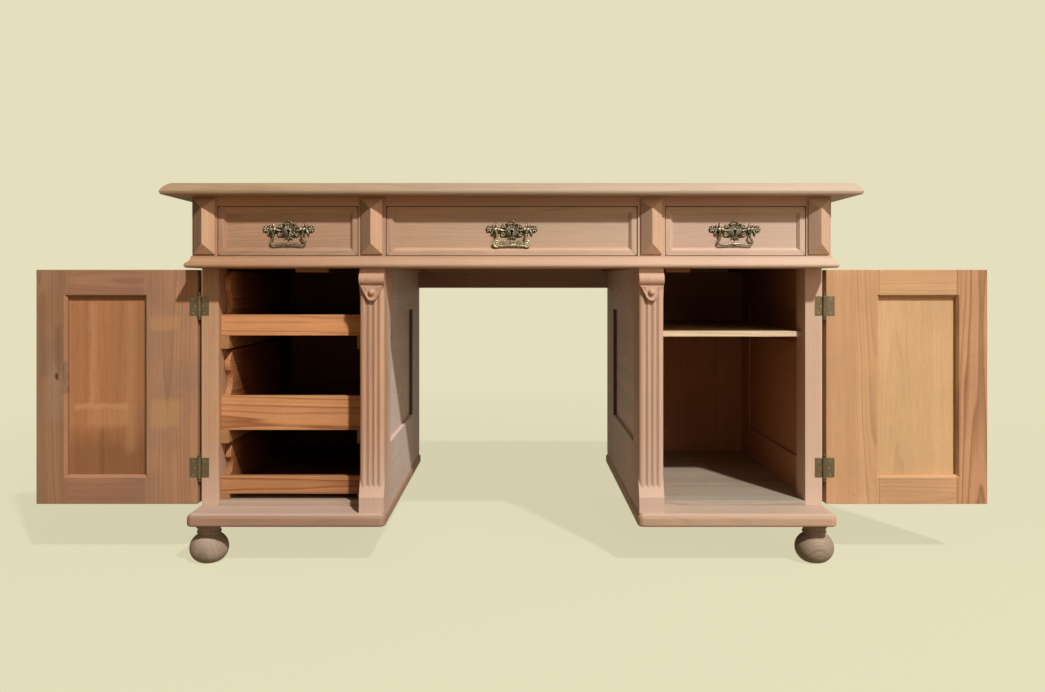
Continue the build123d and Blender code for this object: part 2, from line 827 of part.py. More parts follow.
def door_place():
    """Hinge axis of the right door, and the open door's edges beside the carcass."""
    axis_x = carcass_half + hinge_axis_out
    near = axis_x + hinge_edge_gap
    closed_end = pilaster_x + door_pilaster_gap
    return axis_x, near, 2 * axis_x - closed_end


def door():
    """The right door, open: a chamfered frame let in for the hinge leaves, and its panel."""
    axis_x, near, far = door_place()
    z0 = pedestal_z + door_bottom_gap
    z1 = waist_z - door_top_gap
    back = post_plane + door_thickness
    panel_start = post_plane + door_panel_recess
    boards, inside_u, inside_v, _ = frame_boards(
        near, far, z0, z1, post_plane, back,
        door_bottom_rail_height, door_top_rail_height, door_hinge_stile_width, door_free_stile_width,
        panel_start, door_panel_thickness,
    )
    middle = ((inside_u[0] + inside_u[1]) / 2, (inside_v[0] + inside_v[1]) / 2)
    width = inside_u[1] - inside_u[0]
    height = inside_v[1] - inside_v[0]
    cutters = leaf_recesses(axis_x, near + door_leaf_width + leaf_play)
    for face_y, inward in ((post_plane, 1), (back, -1)):
        face = Plane(origin=(middle[0], face_y, middle[1]), x_dir=(1, 0, 0), z_dir=(0, inward, 0))
        mouth = face * Rectangle(width + 2 * door_chamfer, height + 2 * door_chamfer)
        cutters.append(loft([mouth, face.offset(door_chamfer) * Rectangle(width, height)], ruled=True))
    frame = []
    for piece in boards:
        for cutter in cutters:
            piece -= cutter
        frame.append(piece)
    return frame, [frame_panel(inside_u, inside_v, panel_start, door_panel_thickness)]


def hinge_axis_y():
    """The doors swing on a line halfway through the gap between door and post."""
    return post_plane - door_face_gap / 2


def hinge(level):
    """One butt hinge of the right door: post leaf, door leaf and loose pin with finials."""
    axis_x, near, _ = door_place()
    axis_y = hinge_axis_y()
    front = post_plane - leaf_proud
    back = front + leaf_thickness
    z0 = level - hinge_height / 2
    z1 = level + hinge_height / 2
    third = hinge_height / 3

    def knuckle(low, high):
        return Pos(axis_x, axis_y, (low + high) / 2) * Cylinder(knuckle_radius, high - low)

    def bore(radius):
        return Pos(axis_x, axis_y, level) * Cylinder(radius, 2 * hinge_height)

    post_edge = axis_x - hinge_edge_gap
    post_leaf = board(post_edge - post_leaf_width, post_edge, front, back, z0, z1)
    for low, high in ((z0, z0 + third), (z1 - third, z1)):
        post_leaf += board(post_edge, axis_x, front, back, low, high) + knuckle(low, high)
    post_leaf -= bore(hinge_pin_radius + pin_fit)

    low = z0 + third + knuckle_gap
    high = z1 - third - knuckle_gap
    door_leaf = board(near, near + door_leaf_width, front, back, z0, z1)
    door_leaf += board(axis_x, near, front, back, low, high) + knuckle(low, high)
    door_leaf -= bore(hinge_pin_radius + pin_play)

    pin_length = hinge_height + 2 * (finial_neck + finial_radius)
    pin = Pos(axis_x, axis_y, level) * Cylinder(hinge_pin_radius, pin_length)
    finial = Cylinder(finial_radius, 2 * finial_radius)
    finial = chamfer(finial.edges(), finial_bevel)
    for end, side in ((z0, -1), (z1, 1)):
        knob = Pos(axis_x, axis_y, end + side * (finial_neck + finial_radius)) * finial
        collar = Pos(axis_x, axis_y, end + side * finial_neck / 2) * Cylinder(knuckle_radius, finial_neck)
        pin += knob + collar
    return post_leaf, door_leaf, pin


def door_stops():
    """Small blocks under the waist rail that the closed doors meet."""
    rear = post_plane + door_stop_depth
    z0 = waist_z - door_stop_height
    left_end = -pilaster_x - left_stop_inset
    right_start = pilaster_x + right_stop_inset
    return [
        board(left_end - left_stop_width, left_end, post_plane, rear, z0, waist_z),
        board(right_start, right_start + right_stop_width, post_plane, rear, z0, waist_z),
    ]


# Each tray's level, the height of its front, and the underside of what is above it
high_tray_rise = waist_z - floor_z - high_tray_drop
runner_stack = tray_runner_height + run_gap
trays = {
    "low_tray": (low_tray_rise, low_tray_front_height, middle_tray_rise - runner_stack),
    "middle_tray": (middle_tray_rise, middle_tray_front_height, high_tray_rise - runner_stack),
    "high_tray": (high_tray_rise, high_tray_front_height, waist_z - floor_z),
}


def tray(rise, front_height, ceiling):
    """Pull-out tray, drawn in the right cupboard: low front across high sides that are scooped above it."""
    x0 = pilaster_x + tray_side_gap
    x1 = post_x - tray_side_gap
    y0 = post_plane + tray_setback
    y1 = back_inside - tray_back_gap
    side_y = y0 + tray_front_thickness
    z0 = floor_z + rise
    bed = z0 + tray_bottom_thickness
    inside = (x0 + tray_board_thickness, x1 - tray_board_thickness)
    front_top = bed + front_height
    side_top = floor_z + ceiling - tray_head_gap
    scoop_end = front_top + (side_top - front_top) * 0.55
    nose = (side_y + tray_nose_setback, scoop_end)
    head = (side_y + tray_nose_length, side_top)
    outline = [
        Polyline((side_y, front_top), (side_y, bed), (y1, bed), (y1, side_top), head),
        ThreePointArc((side_y, front_top), (side_y + tray_scoop_depth, (front_top + scoop_end) / 2), nose),
        TangentArc(head, nose, tangent=(-1, 0)),
    ]
    cheek = extrude(Plane.YZ * make_face(outline), amount=tray_board_thickness)
    return [
        board(x0, x1, side_y, y1, z0, bed),
        board(x0, x1, y0, side_y, z0, front_top),
        board(inside[0], inside[1], y1 - tray_board_thickness, y1, bed, bed + tray_back_height),
        Pos(x0, 0, 0) * cheek,
        Pos(inside[1], 0, 0) * cheek,
    ]


def tray_runners():
    """A runner under each edge of each tray, with a guide beside it."""
    y0 = post_plane + tray_setback
    pieces = []
    for rise, _, _ in trays.values():
        top = floor_z + rise - run_gap
        foot = max(floor_z, top - tray_runner_height)
        guide_top = top + tray_guide_height
        pieces += [
            board(inner_face, pilaster_x + tray_runner_inner_ledge, y0, back_inside, foot, top),
            board(inner_face, pilaster_x, y0, back_inside, top, guide_top),
            board(post_x - tray_runner_outer_width, post_x, y0, back_inside, foot, top),
            board(post_x, outer_face, post_rear, back_inside, foot, guide_top),
        ]
    return mirrored(pieces)


def cupboard_shelf():
    """Loose shelf of the right cupboard, notched round the door post."""
    z0 = floor_z + shelf_rise
    z1 = z0 + shelf_thickness
    y0 = post_plane + shelf_setback
    shelf = board(inner_face, outer_face, y0, back_inside, z0, z1)
    return [shelf - board(post_x, outer_face, y0, post_rear, z0, z1)]


def shelf_ledges():
    z1 = floor_z + shelf_rise
    z0 = z1 - ledge_size
    y0 = post_plane + shelf_setback
    return [
        board(inner_face, inner_face + ledge_size, y0, back_inside, z0, z1),
        board(outer_face - ledge_size, outer_face, post_rear, back_inside, z0, z1),
    ]


os.makedirs("parts", exist_ok=True)

save("table_top", table_top())
save("frieze_top_rail", frieze_top_rail())
save("frieze_posts", frieze_posts())
save("post_diamonds", post_diamonds())
save("frieze_sides", frieze_sides())
save("frieze_back", frieze_back())
save("frieze_partitions", frieze_partitions())
save("drawer_runners", drawer_runners())
save("drawer_kickers", drawer_kickers())
save("dust_boards", dust_boards())
save("waist_moulding", waist_moulding())
save("ball_feet", ball_feet())
save("door_stops", door_stops())
save("tray_runners", tray_runners())
save("cupboard_shelf", cupboard_shelf())
save("shelf_ledges", shelf_ledges())

outer_boards, outer_panel, outer_groove = outer_side()
inner_boards, inner_panel = inner_side()
door_frame, door_panel = door()
hinges = [hinge(level) for level in hinge_levels()]
right_hand = {
    "outer_frame": outer_boards,
    "inner_frame": inner_boards,
    "side_panels": outer_panel + inner_panel,
    "back": pedestal_back(),
    "plinth": [plinth()],
    "pilaster": pilaster(),
    "door_frame": door_frame,
    "door_panel": door_panel,
    "door_hinge_leaves": [door_leaf for _, door_leaf, _ in hinges],
}
for piece_name, pieces in right_hand.items():
    save("right_" + piece_name, pieces)
    save("left_" + piece_name, mirrored(pieces))
save("pedestal_floors", both_sides([pedestal_floor()]))
save("door_posts", both_sides([door_post(outer_groove)]))
save("hinge_post_leaves", both_sides([post_leaf for post_leaf, _, _ in hinges]))
save("hinge_pins", both_sides([pin for _, _, pin in hinges]))

drawers = {
    "left_drawer": (-side_opening_end, -side_opening_start),
    "centre_drawer": (-inner_post_x, inner_post_x),
    "right_drawer": (side_opening_start, side_opening_end),
}
for drawer_name, (x0, x1) in drawers.items():
    middle = (x0 + x1) / 2
    lock_case, lock_bolt = drawer_lock(middle)
    save(drawer_name + "_front", drawer_front(x0, x1))
    save(drawer_name + "_box", drawer_box(x0, x1))
    save(drawer_name + "_plate", handle_plate(middle))
    save(drawer_name + "_bail", handle_bail(middle))
    save(drawer_name + "_lock", lock_case)
    save(drawer_name + "_bolt", lock_bolt)

for tray_name, heights in trays.items():
    save(tray_name, mirrored(tray(*heights)))
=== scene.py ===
import math
import random
import bmesh
import bpy
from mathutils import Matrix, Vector


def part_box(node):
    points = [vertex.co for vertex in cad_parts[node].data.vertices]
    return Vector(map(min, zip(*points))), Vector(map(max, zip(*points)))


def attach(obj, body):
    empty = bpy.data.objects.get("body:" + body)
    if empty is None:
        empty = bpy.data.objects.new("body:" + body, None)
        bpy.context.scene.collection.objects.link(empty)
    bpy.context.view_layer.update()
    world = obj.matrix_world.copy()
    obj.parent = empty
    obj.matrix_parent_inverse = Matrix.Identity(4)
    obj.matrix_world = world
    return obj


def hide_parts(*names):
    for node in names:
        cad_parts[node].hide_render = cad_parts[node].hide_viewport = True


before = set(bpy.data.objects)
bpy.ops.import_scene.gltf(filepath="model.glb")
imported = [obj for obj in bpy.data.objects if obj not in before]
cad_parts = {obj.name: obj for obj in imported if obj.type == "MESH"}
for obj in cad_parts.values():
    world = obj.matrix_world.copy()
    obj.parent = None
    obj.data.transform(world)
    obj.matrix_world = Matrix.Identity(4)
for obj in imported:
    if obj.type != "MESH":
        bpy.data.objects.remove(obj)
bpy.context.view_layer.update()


# Turned feet: four flattened balls of beech with a scored line, a bead, a hollow neck and a flange.
# Turned on a lathe and dowelled into the plinths at the outer corners, bare and greyed by floor dirt.

def solids_of(node):
    """The closed solids of a CAD node, in order, each a list of triangles of corner points."""
    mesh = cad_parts[node].data
    points = [tuple(round(value, 6) for value in vertex.co) for vertex in mesh.vertices]
    solids = []
    triangles = []
    open_edges = set()
    for face in mesh.polygons:
        corners = [points[index] for index in face.vertices]
        if len(set(corners)) < 3:
            continue
        triangles.append(corners)
        for start, end in zip(corners, corners[1:] + corners[:1]):
            if (end, start) in open_edges:
                open_edges.discard((end, start))
            else:
                open_edges.add((start, end))
        if not open_edges:
            solids.append(triangles)
            triangles = []
    if triangles:
        solids.append(triangles)
    return solids


def softened(triangles, ease, cuts=()):
    """One board as a bmesh: flat faces made whole, sawn at the cuts, and its arrises eased."""
    board = bmesh.new()
    made = {}
    for corners in triangles:
        for point in corners:
            if point not in made:
                made[point] = board.verts.new(point)
        board.faces.new([made[point] for point in corners])
    bmesh.ops.dissolve_limit(board, angle_limit=math.radians(0.2), verts=board.verts, edges=board.edges)
    worn_and_shaded = board.faces.layers.int.new("worn_and_shaded")
    if ease:
        sharp = math.radians(40)
        arrises = [
            edge for edge in board.edges
            if edge.is_manifold and edge.is_convex and edge.calc_face_angle() > sharp
        ]
        made_faces = bmesh.ops.bevel(
            board, geom=arrises, offset=ease, segments=2, profile=0.5, affect="EDGES", clamp_overlap=True
        )["faces"]
        for face in made_faces:
            face[worn_and_shaded] = 1
    for axis, place in cuts:
        everything = board.verts[:] + board.edges[:] + board.faces[:]
        normal = Vector((axis == 0, axis == 1, axis == 2))
        bmesh.ops.bisect_plane(board, geom=everything, plane_co=normal * place, plane_no=normal)
    return board


def grain_frame(low, high, draw, along=None):
    """How a board was sawn from the log: its axes, and where the heart of the tree lay beside it."""
    order = sorted(range(3), key=lambda axis: low[axis] - high[axis])
    if along is None and order[2] == 2 and high[order[1]] - low[order[1]] > 0.2:
        along = 0
    if along is not None:
        order.remove(along)
        order.insert(0, along)
    centre = [(low[axis] + high[axis]) / 2 for axis in range(3)]
    width = high[order[1]] - low[order[1]]
    start = draw.uniform(-2, 2)
    heart = (draw.uniform(-0.4, 0.4) * width, draw.choice((-1, 1)) * draw.uniform(0.02, 0.085))
    tilt = (draw.uniform(-0.02, 0.02), draw.uniform(-0.03, 0.03))
    tone = (draw.random(), draw.random(), draw.random())

    def place(point):
        run = point[order[0]] - centre[order[0]]
        across = point[order[1]] - centre[order[1]] + heart[0] + tilt[0] * run
        through = point[order[2]] - centre[order[2]] + heart[1] + tilt[1] * run
        return (run + start, across, through)

    return place, tone


def indoors(point):
    """Whether a point is on a face inside a cupboard or inside the frieze, where shade is painted."""
    x, y, z = abs(point[0]), point[1], point[2]
    return (0.28 < x < 0.637 and -0.262 < y < 0.322 and 0.113 < z < 0.612) or (
        x < 0.632 and -0.25 < y < 0.3185 and 0.626 < z < 0.757)


def wooden(name, boards, body, finish, slot, replaced, seed, along=None, planks=None, ease=0.0009, shades=(),
           grime=None):
    """A wooden piece made of boards, each sawn from its own stretch of timber.

    planks is an axis and the places where a wide board is jointed from narrower ones; shades are the tones of
    the boards in order, dark to pale and red to yellow, where they are not left to chance. The last argument
    gives, from a point and the normal of its face, painted shade to darken it, with old stain in the flutes,
    and below zero painted light to make it paler.
    """
    draw = random.Random(seed)
    points = []
    faces = []
    grains = []
    tones = []
    wear_and_shade = []
    dust_and_inside_shade = []
    for number, triangles in enumerate(boards):
        cuts = [(planks[0], place) for place in planks[1]] if planks else []
        board = softened(triangles, ease, cuts)
        low = [min(vertex.co[axis] for vertex in board.verts) for axis in range(3)]
        high = [max(vertex.co[axis] for vertex in board.verts) for axis in range(3)]
        frames = [grain_frame(low, high, draw, along)]
        if planks:
            edges = [low[planks[0]], *planks[1], high[planks[0]]]
            frames = []
            for start, end in zip(edges, edges[1:]):
                strip_low = list(low)
                strip_high = list(high)
                strip_low[planks[0]] = start
                strip_high[planks[0]] = end
                frames.append(grain_frame(strip_low, strip_high, draw, along))
        worn_and_shaded = board.faces.layers.int.get("worn_and_shaded")
        first = len(points)
        board.verts.index_update()
        points.extend(tuple(vertex.co) for vertex in board.verts)
        for face in board.faces:
            strip = 0
            if planks:
                middle = face.calc_center_median()[planks[0]]
                strip = sum(middle > place for place in planks[1])
            place, tone = frames[strip]
            if number < len(shades):
                tone = (*shades[number], tone[2])
            # Faces inside the cupboards and the frieze are marked for painted shade.
            inside = float(indoors(face.calc_center_median() + 0.001 * face.normal))
            faces.append([first + vertex.index for vertex in face.verts])
            for vertex in face.verts:
                grains.extend(place(vertex.co))
                tones.extend(tone)
                # The mask's painted shade is stored below zero and its painted light above, in place of the rubbed
                # arrises.
                darkening = grime(vertex.co, face.normal) if grime else 0.0
                wear_and_shade.append(-darkening if darkening else float(face[worn_and_shaded]))
                dust_and_inside_shade.append(inside)
        board.free()
    mesh = bpy.data.meshes.new(name)
    mesh.from_pydata(points, [], faces)
    mesh.attributes.new("grain", "FLOAT_VECTOR", "CORNER").data.foreach_set("vector", grains)
    mesh.attributes.new("tone", "FLOAT_VECTOR", "CORNER").data.foreach_set("vector", tones)
    mesh.attributes.new("worn_and_shaded", "FLOAT", "CORNER").data.foreach_set("value", wear_and_shade)
    mesh.attributes.new("indoors", "FLOAT", "CORNER").data.foreach_set("value", dust_and_inside_shade)
    return piece(name, mesh, body, finish, replaced, smooth_below=22)


def piece(name, mesh, body, finish, replaced=(), smooth_below=30):
    """Puts a finished mesh in the scene as one piece that rides on a body."""
    mesh.polygons.foreach_set("use_smooth", [True] * len(mesh.polygons))
    mesh.set_sharp_from_angle(angle=math.radians(smooth_below))
    mesh.materials.append(finish)
    mesh.update()
    made = bpy.data.objects.new(name, mesh)
    bpy.context.scene.collection.objects.link(made)
    weighted = made.modifiers.new("weighted", "WEIGHTED_NORMAL")
    weighted.keep_sharp = True
    bpy.context.view_layer.update()
    shaded = bpy.data.meshes.new_from_object(made.evaluated_get(bpy.context.evaluated_depsgraph_get()))
    made.modifiers.remove(weighted)
    made.data = shaded
    shaded.name = name
    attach(made, body)
    if replaced:
        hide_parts(*replaced)
    return made


def fitted(tree, kind, inputs=(), **settings):
    """A node with its settings, its inputs linked or set; returns the node."""
    made = tree.nodes.new(kind)
    for key, value in settings.items():
        setattr(made, key, value)
    for socket, source in dict(inputs).items():
        if isinstance(source, bpy.types.NodeSocket):
            tree.links.new(source, made.inputs[socket])
        else:
            made.inputs[socket].default_value = source
    return made


def add(tree, kind, inputs=(), **settings):
    return fitted(tree, "ShaderNode" + kind, inputs, **settings)


def calc(tree, operation, first, second=0.0):
    return add(tree, "Math", {0: first, 1: second}, operation=operation).outputs[0]


def blended(tree, amount, first, second, way="MIX"):
    """Two colours mixed by an amount."""
    return add(tree, "Mix", {0: amount, 6: first, 7: second}, data_type="RGBA", blend_type=way).outputs[2]


def stops(tree, source, *places):
    """A ramp of grey levels: (position, level) pairs."""
    ramp = add(tree, "ValToRGB", {0: source})
    points = ramp.color_ramp.elements
    while len(points) < len(places):
        points.new(0.5)
    for point, (position, level) in zip(points, places):
        point.position = position
        point.color = (level, level, level, 1)
    return ramp.outputs[0]


def colour(red, green, blue):
    """A colour as an sRGB screen shows it, in the linear values that a shader takes."""
    return tuple((value / 255 / 12.92) if value < 11 else ((value / 255 + 0.055) / 1.055) ** 2.4
                 for value in (red, green, blue)) + (1.0,)


def wood_finish(name, pale, dark, grey, ring=0.0032, rings=0.55, streaks=0.45, greyed=0.3, rough=0.62,
                knots=0.0, inside=1.0, right_light_paint=0.0, low_tint=0.0, dust_and_inside_shade=0.0, inside_shade_colour=(216, 186, 157),
                overhang_shadow=False, kneehole_fill_paint=False, marks=(), marked_to=1.0):
    """Bare timber cut from a log: yearly rings about its heart, fibres, stains, and rubbed arrises.
    With painted light and shade: paler towards the right end, a painted shadow under the top's overhang, painted
    shade deeper inside, a painted fill light in the kneehole, and the painted shade and light of each board's mask.

    marks are single stains: middle across and up, half width and height, softness, strength and colour.
    They lie on the faces in front of marked_to.
    """
    pale, dark, grey = (colour(*shade) for shade in (pale, dark, grey))
    made = bpy.data.materials.new(name)
    made.use_nodes = True
    tree = made.node_tree
    shader = tree.nodes["Principled BSDF"]
    grain = add(tree, "Attribute", attribute_name="grain").outputs["Vector"]
    tone = add(tree, "Attribute", attribute_name="tone").outputs["Vector"]
    worn_and_shaded = add(tree, "Attribute", attribute_name="worn_and_shaded").outputs["Fac"]
    where = add(tree, "TexCoord").outputs["Object"]

    def times(first, second):
        return calc(tree, "MULTIPLY", first, second)

    def plus(first, second):
        return calc(tree, "ADD", first, second)

    def mixed(*inputs):
        return blended(tree, *inputs)

    def ramp(*inputs):
        return stops(tree, *inputs)

    def along(run, across):
        return add(tree, "VectorMath", {0: grain, 1: (run, across, across)}, operation="MULTIPLY").outputs[0]

    def noise(vector, detail, roughness=0.5, scale=1.0, output="Fac"):
        return add(tree, "TexNoise", {"Vector": vector, "Scale": scale, "Detail": detail,
                                      "Roughness": roughness}).outputs[output]

    def span(value, start, end, low=0.0, high=1.0, way="LINEAR"):
        return add(tree, "MapRange", {"Value": value, 1: start, 2: end, 3: low, 4: high},
                   interpolation_type=way).outputs[0]

    wander = noise(along(1.6, 9), 2, output="Color")
    shift = add(tree, "VectorMath", {0: wander, 1: (0.5, 0.5, 0.5)}, operation="SUBTRACT").outputs[0]
    bent = add(tree, "VectorMath", {0: shift, 1: (0, 0.022, 0.022), 2: grain}, operation="MULTIPLY_ADD").outputs[0]
    axes = add(tree, "SeparateXYZ", {0: bent})
    radius = calc(tree, "SQRT", plus(times(axes.outputs[1], axes.outputs[1]),
                                     times(axes.outputs[2], axes.outputs[2])))
    if knots:
        cells = add(tree, "TexVoronoi", {"Vector": along(2.3, 9), "Scale": 1.0, "Randomness": 1.0})
        knot = ramp(cells.outputs["Distance"], (0.0, 1.0), (0.07, 0.8), (0.12, 0.12), (0.3, 0.0))
        radius = plus(radius, times(knot, 0.02))
    years = calc(tree, "DIVIDE", radius, ring)
    years = plus(years, times(noise(along(0.8, 60), 1), 1.3))
    season = ramp(calc(tree, "FRACT", years), (0.0, 0.15), (0.45, 0.2), (0.86, 1.0), (1.0, 0.1))
    year = add(tree, "TexWhiteNoise", {"W": calc(tree, "FLOOR", years)}, noise_dimensions="1D").outputs["Value"]
    late = times(season, plus(times(year, 0.7), 0.4))
    fibre = noise(along(10, 520), 4, 0.65)
    band = ramp(noise(along(0.9, 32), 3, 0.6), (0.3, 0.0), (0.72, 1.0))
    pores = ramp(noise(along(45, 1700), 1), (0.6, 0.0), (0.72, 1.0))

    face = mixed(times(late, rings), pale, dark)
    face = mixed(times(band, streaks), face, dark)
    face = mixed(times(pores, 0.35), face, dark)
    if knots:
        face = mixed(times(knot, knots), face, colour(70, 38, 20))
    shades = add(tree, "SeparateXYZ", {0: tone})
    cloud = noise(where, 3, 0.55, scale=7.0)
    value = plus(times(shades.outputs[0], 0.26), 0.71)
    value = plus(value, times(cloud, 0.32))
    value = times(value, plus(times(fibre, 0.34), 0.83))
    hue = plus(times(shades.outputs[1], 0.016), 0.492)
    face = add(tree, "HueSaturation", {"Hue": hue, "Saturation": 1.0, "Value": value, "Color": face}).outputs[0]
    stain = ramp(noise(where, 5, 0.62, scale=6.0), (0.42, 0.0), (0.68, 1.0))
    face = mixed(times(stain, greyed), face, grey)
    dents = ramp(noise(where, 3, 0.6, scale=34.0), (0.69, 0.0), (0.77, 1.0))
    face = mixed(times(dents, 0.45), face, dark)
    spot = add(tree, "SeparateXYZ", {0: where}).outputs
    ragged = times(calc(tree, "SUBTRACT", noise(where, 3, 0.6, scale=40.0), 0.5), 0.016)
    facing = calc(tree, "LESS_THAN", spot[1], marked_to)
    for across, up, half_width, half_height, soft, strength, shade in marks:
        share = times(facing, strength)
        for axis, middle, half in ((0, across, half_width), (2, up, half_height)):
            off = calc(tree, "ABSOLUTE", calc(tree, "SUBTRACT", plus(spot[axis], ragged), middle))
            share = times(span(off, half + soft, half - soft), share)
        face = mixed(share, face, colour(*shade))
    # Rubbed arrises are paler, and chamfers that face the light are given the same pale mix as painted light.
    face = mixed(times(worn_and_shaded, 0.4), face, pale)
    raw = add(tree, "Attribute", attribute_name="indoors").outputs["Fac"]
    # Painted light: the wood is mixed towards a pale colour from the left end to the right end, where the light
    # falls stronger.
    right_light_share = span(spot[0], -0.55, 0.75, 0.0, right_light_paint)
    # Painted shadow: from the shadow line of the top upwards, less of that pale mix, so that it stays darker.
    if overhang_shadow:
        right_light_share = times(right_light_share, span(spot[2], 0.705, 0.73, 1.0, 0.4))
    face = mixed(right_light_share, face, colour(238, 216, 195))
    # Painted fill light: the faces of the kneehole walls are painted paler and greyer, more so towards the back,
    # where they lie in shade.
    if kneehole_fill_paint:
        beside = span(calc(tree, "ABSOLUTE", spot[0]), 0.2725, 0.2705)
        behind = span(spot[1], -0.327, -0.16)
        fill_paled = add(tree, "HueSaturation", {"Saturation": 0.5, "Value": 1.29, "Color": face}).outputs[0]
        face = mixed(times(beside, behind), face, fill_paled)
    # Mixed towards a warm beige towards the bottom.
    face = mixed(span(spot[2], 0.3, 0.1, 0.0, low_tint, "SMOOTHSTEP"), face, colour(214, 187, 168))
    if dust_and_inside_shade:
        up = add(tree, "SeparateXYZ", {0: add(tree, "NewGeometry").outputs["Normal"]}).outputs[2]
        face = mixed(span(up, 0.55, 0.98, 0.0, dust_and_inside_shade, "SMOOTHSTEP"), face, colour(206, 182, 162))
    # Painted shade: faces inside the cupboards and the frieze are darkened with the inside shade colour, more so
    # further back.
    deep = span(spot[1], -0.262, -0.13, way="SMOOTHSTEP")
    brown = mixed(1.0, face, colour(*inside_shade_colour), "MULTIPLY")
    face = mixed(times(times(raw, deep), inside), face, brown)
    # Painted shade from each board's mask, with old stain in the flutes: darkened towards a deep brown.
    face = mixed(times(worn_and_shaded, -0.85), face, colour(44, 30, 20))
    tree.links.new(face, shader.inputs["Base Color"])
    roughness = plus(times(fibre, 0.22), rough - 0.1)
    tree.links.new(roughness, shader.inputs["Roughness"])
    shader.inputs["Specular IOR Level"].default_value = 0.15
    relief = plus(times(late, 0.5), times(fibre, 0.7))
    relief = calc(tree, "SUBTRACT", relief, times(pores, 0.5))
    bump = add(tree, "Bump", {"Strength": 0.35, "Distance": 0.0008, "Height": relief})
    tree.links.new(bump.outputs[0], shader.inputs["Normal"])
    return made


def turned(outline, centre, sides=72):
    """Triangles of a shape turned about an upright axis, from (radius, height) pairs going up."""
    def place(step, side):
        radius, height = outline[step]
        turn = 2 * math.pi * (side % sides) / sides
        return (round(centre[0] + radius * math.cos(turn), 6), round(centre[1] + radius * math.sin(turn), 6),
                round(height, 6))

    triangles = []
    for step in range(len(outline) - 1):
        for side in range(sides):
            low, low_next = place(step, side), place(step, side + 1)
            high, high_next = place(step + 1, side), place(step + 1, side + 1)
            if outline[step][0]:
                triangles.append([low, low_next, high_next])
            if outline[step + 1][0]:
                triangles.append([low, high_next, high])
    return triangles


def arc(middle, radius, *turns):
    return [(middle[0] + radius * math.cos(math.radians(turn)), middle[1] + radius * math.sin(math.radians(turn)))
            for turn in range(*turns)]


ball = ((0.00824, 0.03), 0.03126)
foot_outline = [
    (0, 0), (0.0155, 0), (0.0178, 0.0006), *arc(*ball, -70, 3, 4), (0.0389, 0.0316), (0.0394, 0.0326),
    *arc(*ball, 6, 61, 4), (0.0224, 0.0595), (0.0222, 0.0603), *arc((0.0223, 0.0632), 0.0026, -80, 81, 16),
    (0.0226, 0.0664), (0.0232, 0.069), (0.0248, 0.0718), (0.0272, 0.0742), (0.0285, 0.0752), (0.0288, 0.0762),
    (0.0296, 0.0768), (0.03, 0.0778), (0.03, 0.0842), (0.0296, 0.085), (0, 0.085)]
foot_wood = wood_finish("foot_wood", (192, 166, 142), (122, 99, 82), (148, 132, 119),
                        ring=0.005, rings=0.6, greyed=0.45, rough=0.7)
feet = []
for solid in solids_of("ball_feet"):
    spots = [point for corners in solid for point in corners]
    feet.append(turned(foot_outline, [(min(p[axis] for p in spots) + max(p[axis] for p in spots)) / 2
                                      for axis in (0, 1)]))
wooden("turned_feet", feet, "carcass", foot_wood, "foot_wood", ["ball_feet"], "feet", along=0, ease=0)


# Plinths: a thick slab under each pedestal with its edges rounded over with a plane.
# Stripped softwood, scuffed pale along the front edge.

def boards(node, body, finish, slot, seed, name=None, **more):
    """A wooden piece straight from the solids of one CAD node."""
    return wooden(name or f"{node}_boards", solids_of(node), body, finish, slot, [node], seed, **more)


plinth_wood = wood_finish("plinth_wood", (182, 138, 104), (138, 100, 73), (158, 132, 110),
                          right_light_paint=0.14, low_tint=0.12, dust_and_inside_shade=0.7)
for side in ("left", "right"):
    boards(f"{side}_plinth", "carcass", plinth_wood, "pedestal_wood", f"{side} plinth", f"{side}_plinth_slab",
           along=0, ease=0)


# Pedestal walls: framed sides and backs, mortised together, with thin panels floating in their grooves.
# Stripped softwood outside and raw inside, one frame for each wall.

pedestal_wood = wood_finish("pedestal_wood", (206, 155, 120), (156, 112, 84), (174, 142, 118),
                            right_light_paint=0.35, low_tint=0.5, kneehole_fill_paint=True)


def kneehole_recess_shade(point, normal):
    """Painted shade on the front-facing faces towards the back of the kneehole, such as the back wall of each
    panel's recess.
    """
    return float(normal.y < -0.9 and point.y > -0.2 and abs(point.x) < 0.275)


for side in ("left", "right"):
    for wall in ("outer_frame", "back"):
        boards(f"{side}_{wall}", "carcass", pedestal_wood, "pedestal_wood", f"{side} {wall}")
    for wall in ("inner_frame", "side_panels"):
        boards(f"{side}_{wall}", "carcass", pedestal_wood, "pedestal_wood", f"{side} {wall}", grime=kneehole_recess_shade)
boards("door_posts", "carcass", pedestal_wood, "pedestal_wood", "door posts", "door_post_pair",
       shades=((0.3, 0.5), (0.4, 0.8)))


# Pilasters: shafts of four reeds that die into a cove over a base block, below a tongue, a boss and a roll.
# Carved from the same softwood and glued to the front edge of the kneehole walls.

def smooth(points, steps=6, closed=False):
    """Points on a flowing curve through the given ones."""
    points = [Vector(point) for point in points]
    count = len(points)
    made = []
    for span in range(count if closed else count - 1):
        places = range(span - 1, span + 3)
        near = [points[place % count if closed else min(max(place, 0), count - 1)] for place in places]
        for step in range(steps):
            t = step / steps
            made.append(0.5 * (2 * near[1] + (near[2] - near[0]) * t
                               + (2 * near[0] - 5 * near[1] + 4 * near[2] - near[3]) * t ** 2
                               + (3 * near[1] - near[0] - 3 * near[2] + near[3]) * t ** 3))
    if not closed:
        made.append(points[-1])
    return made


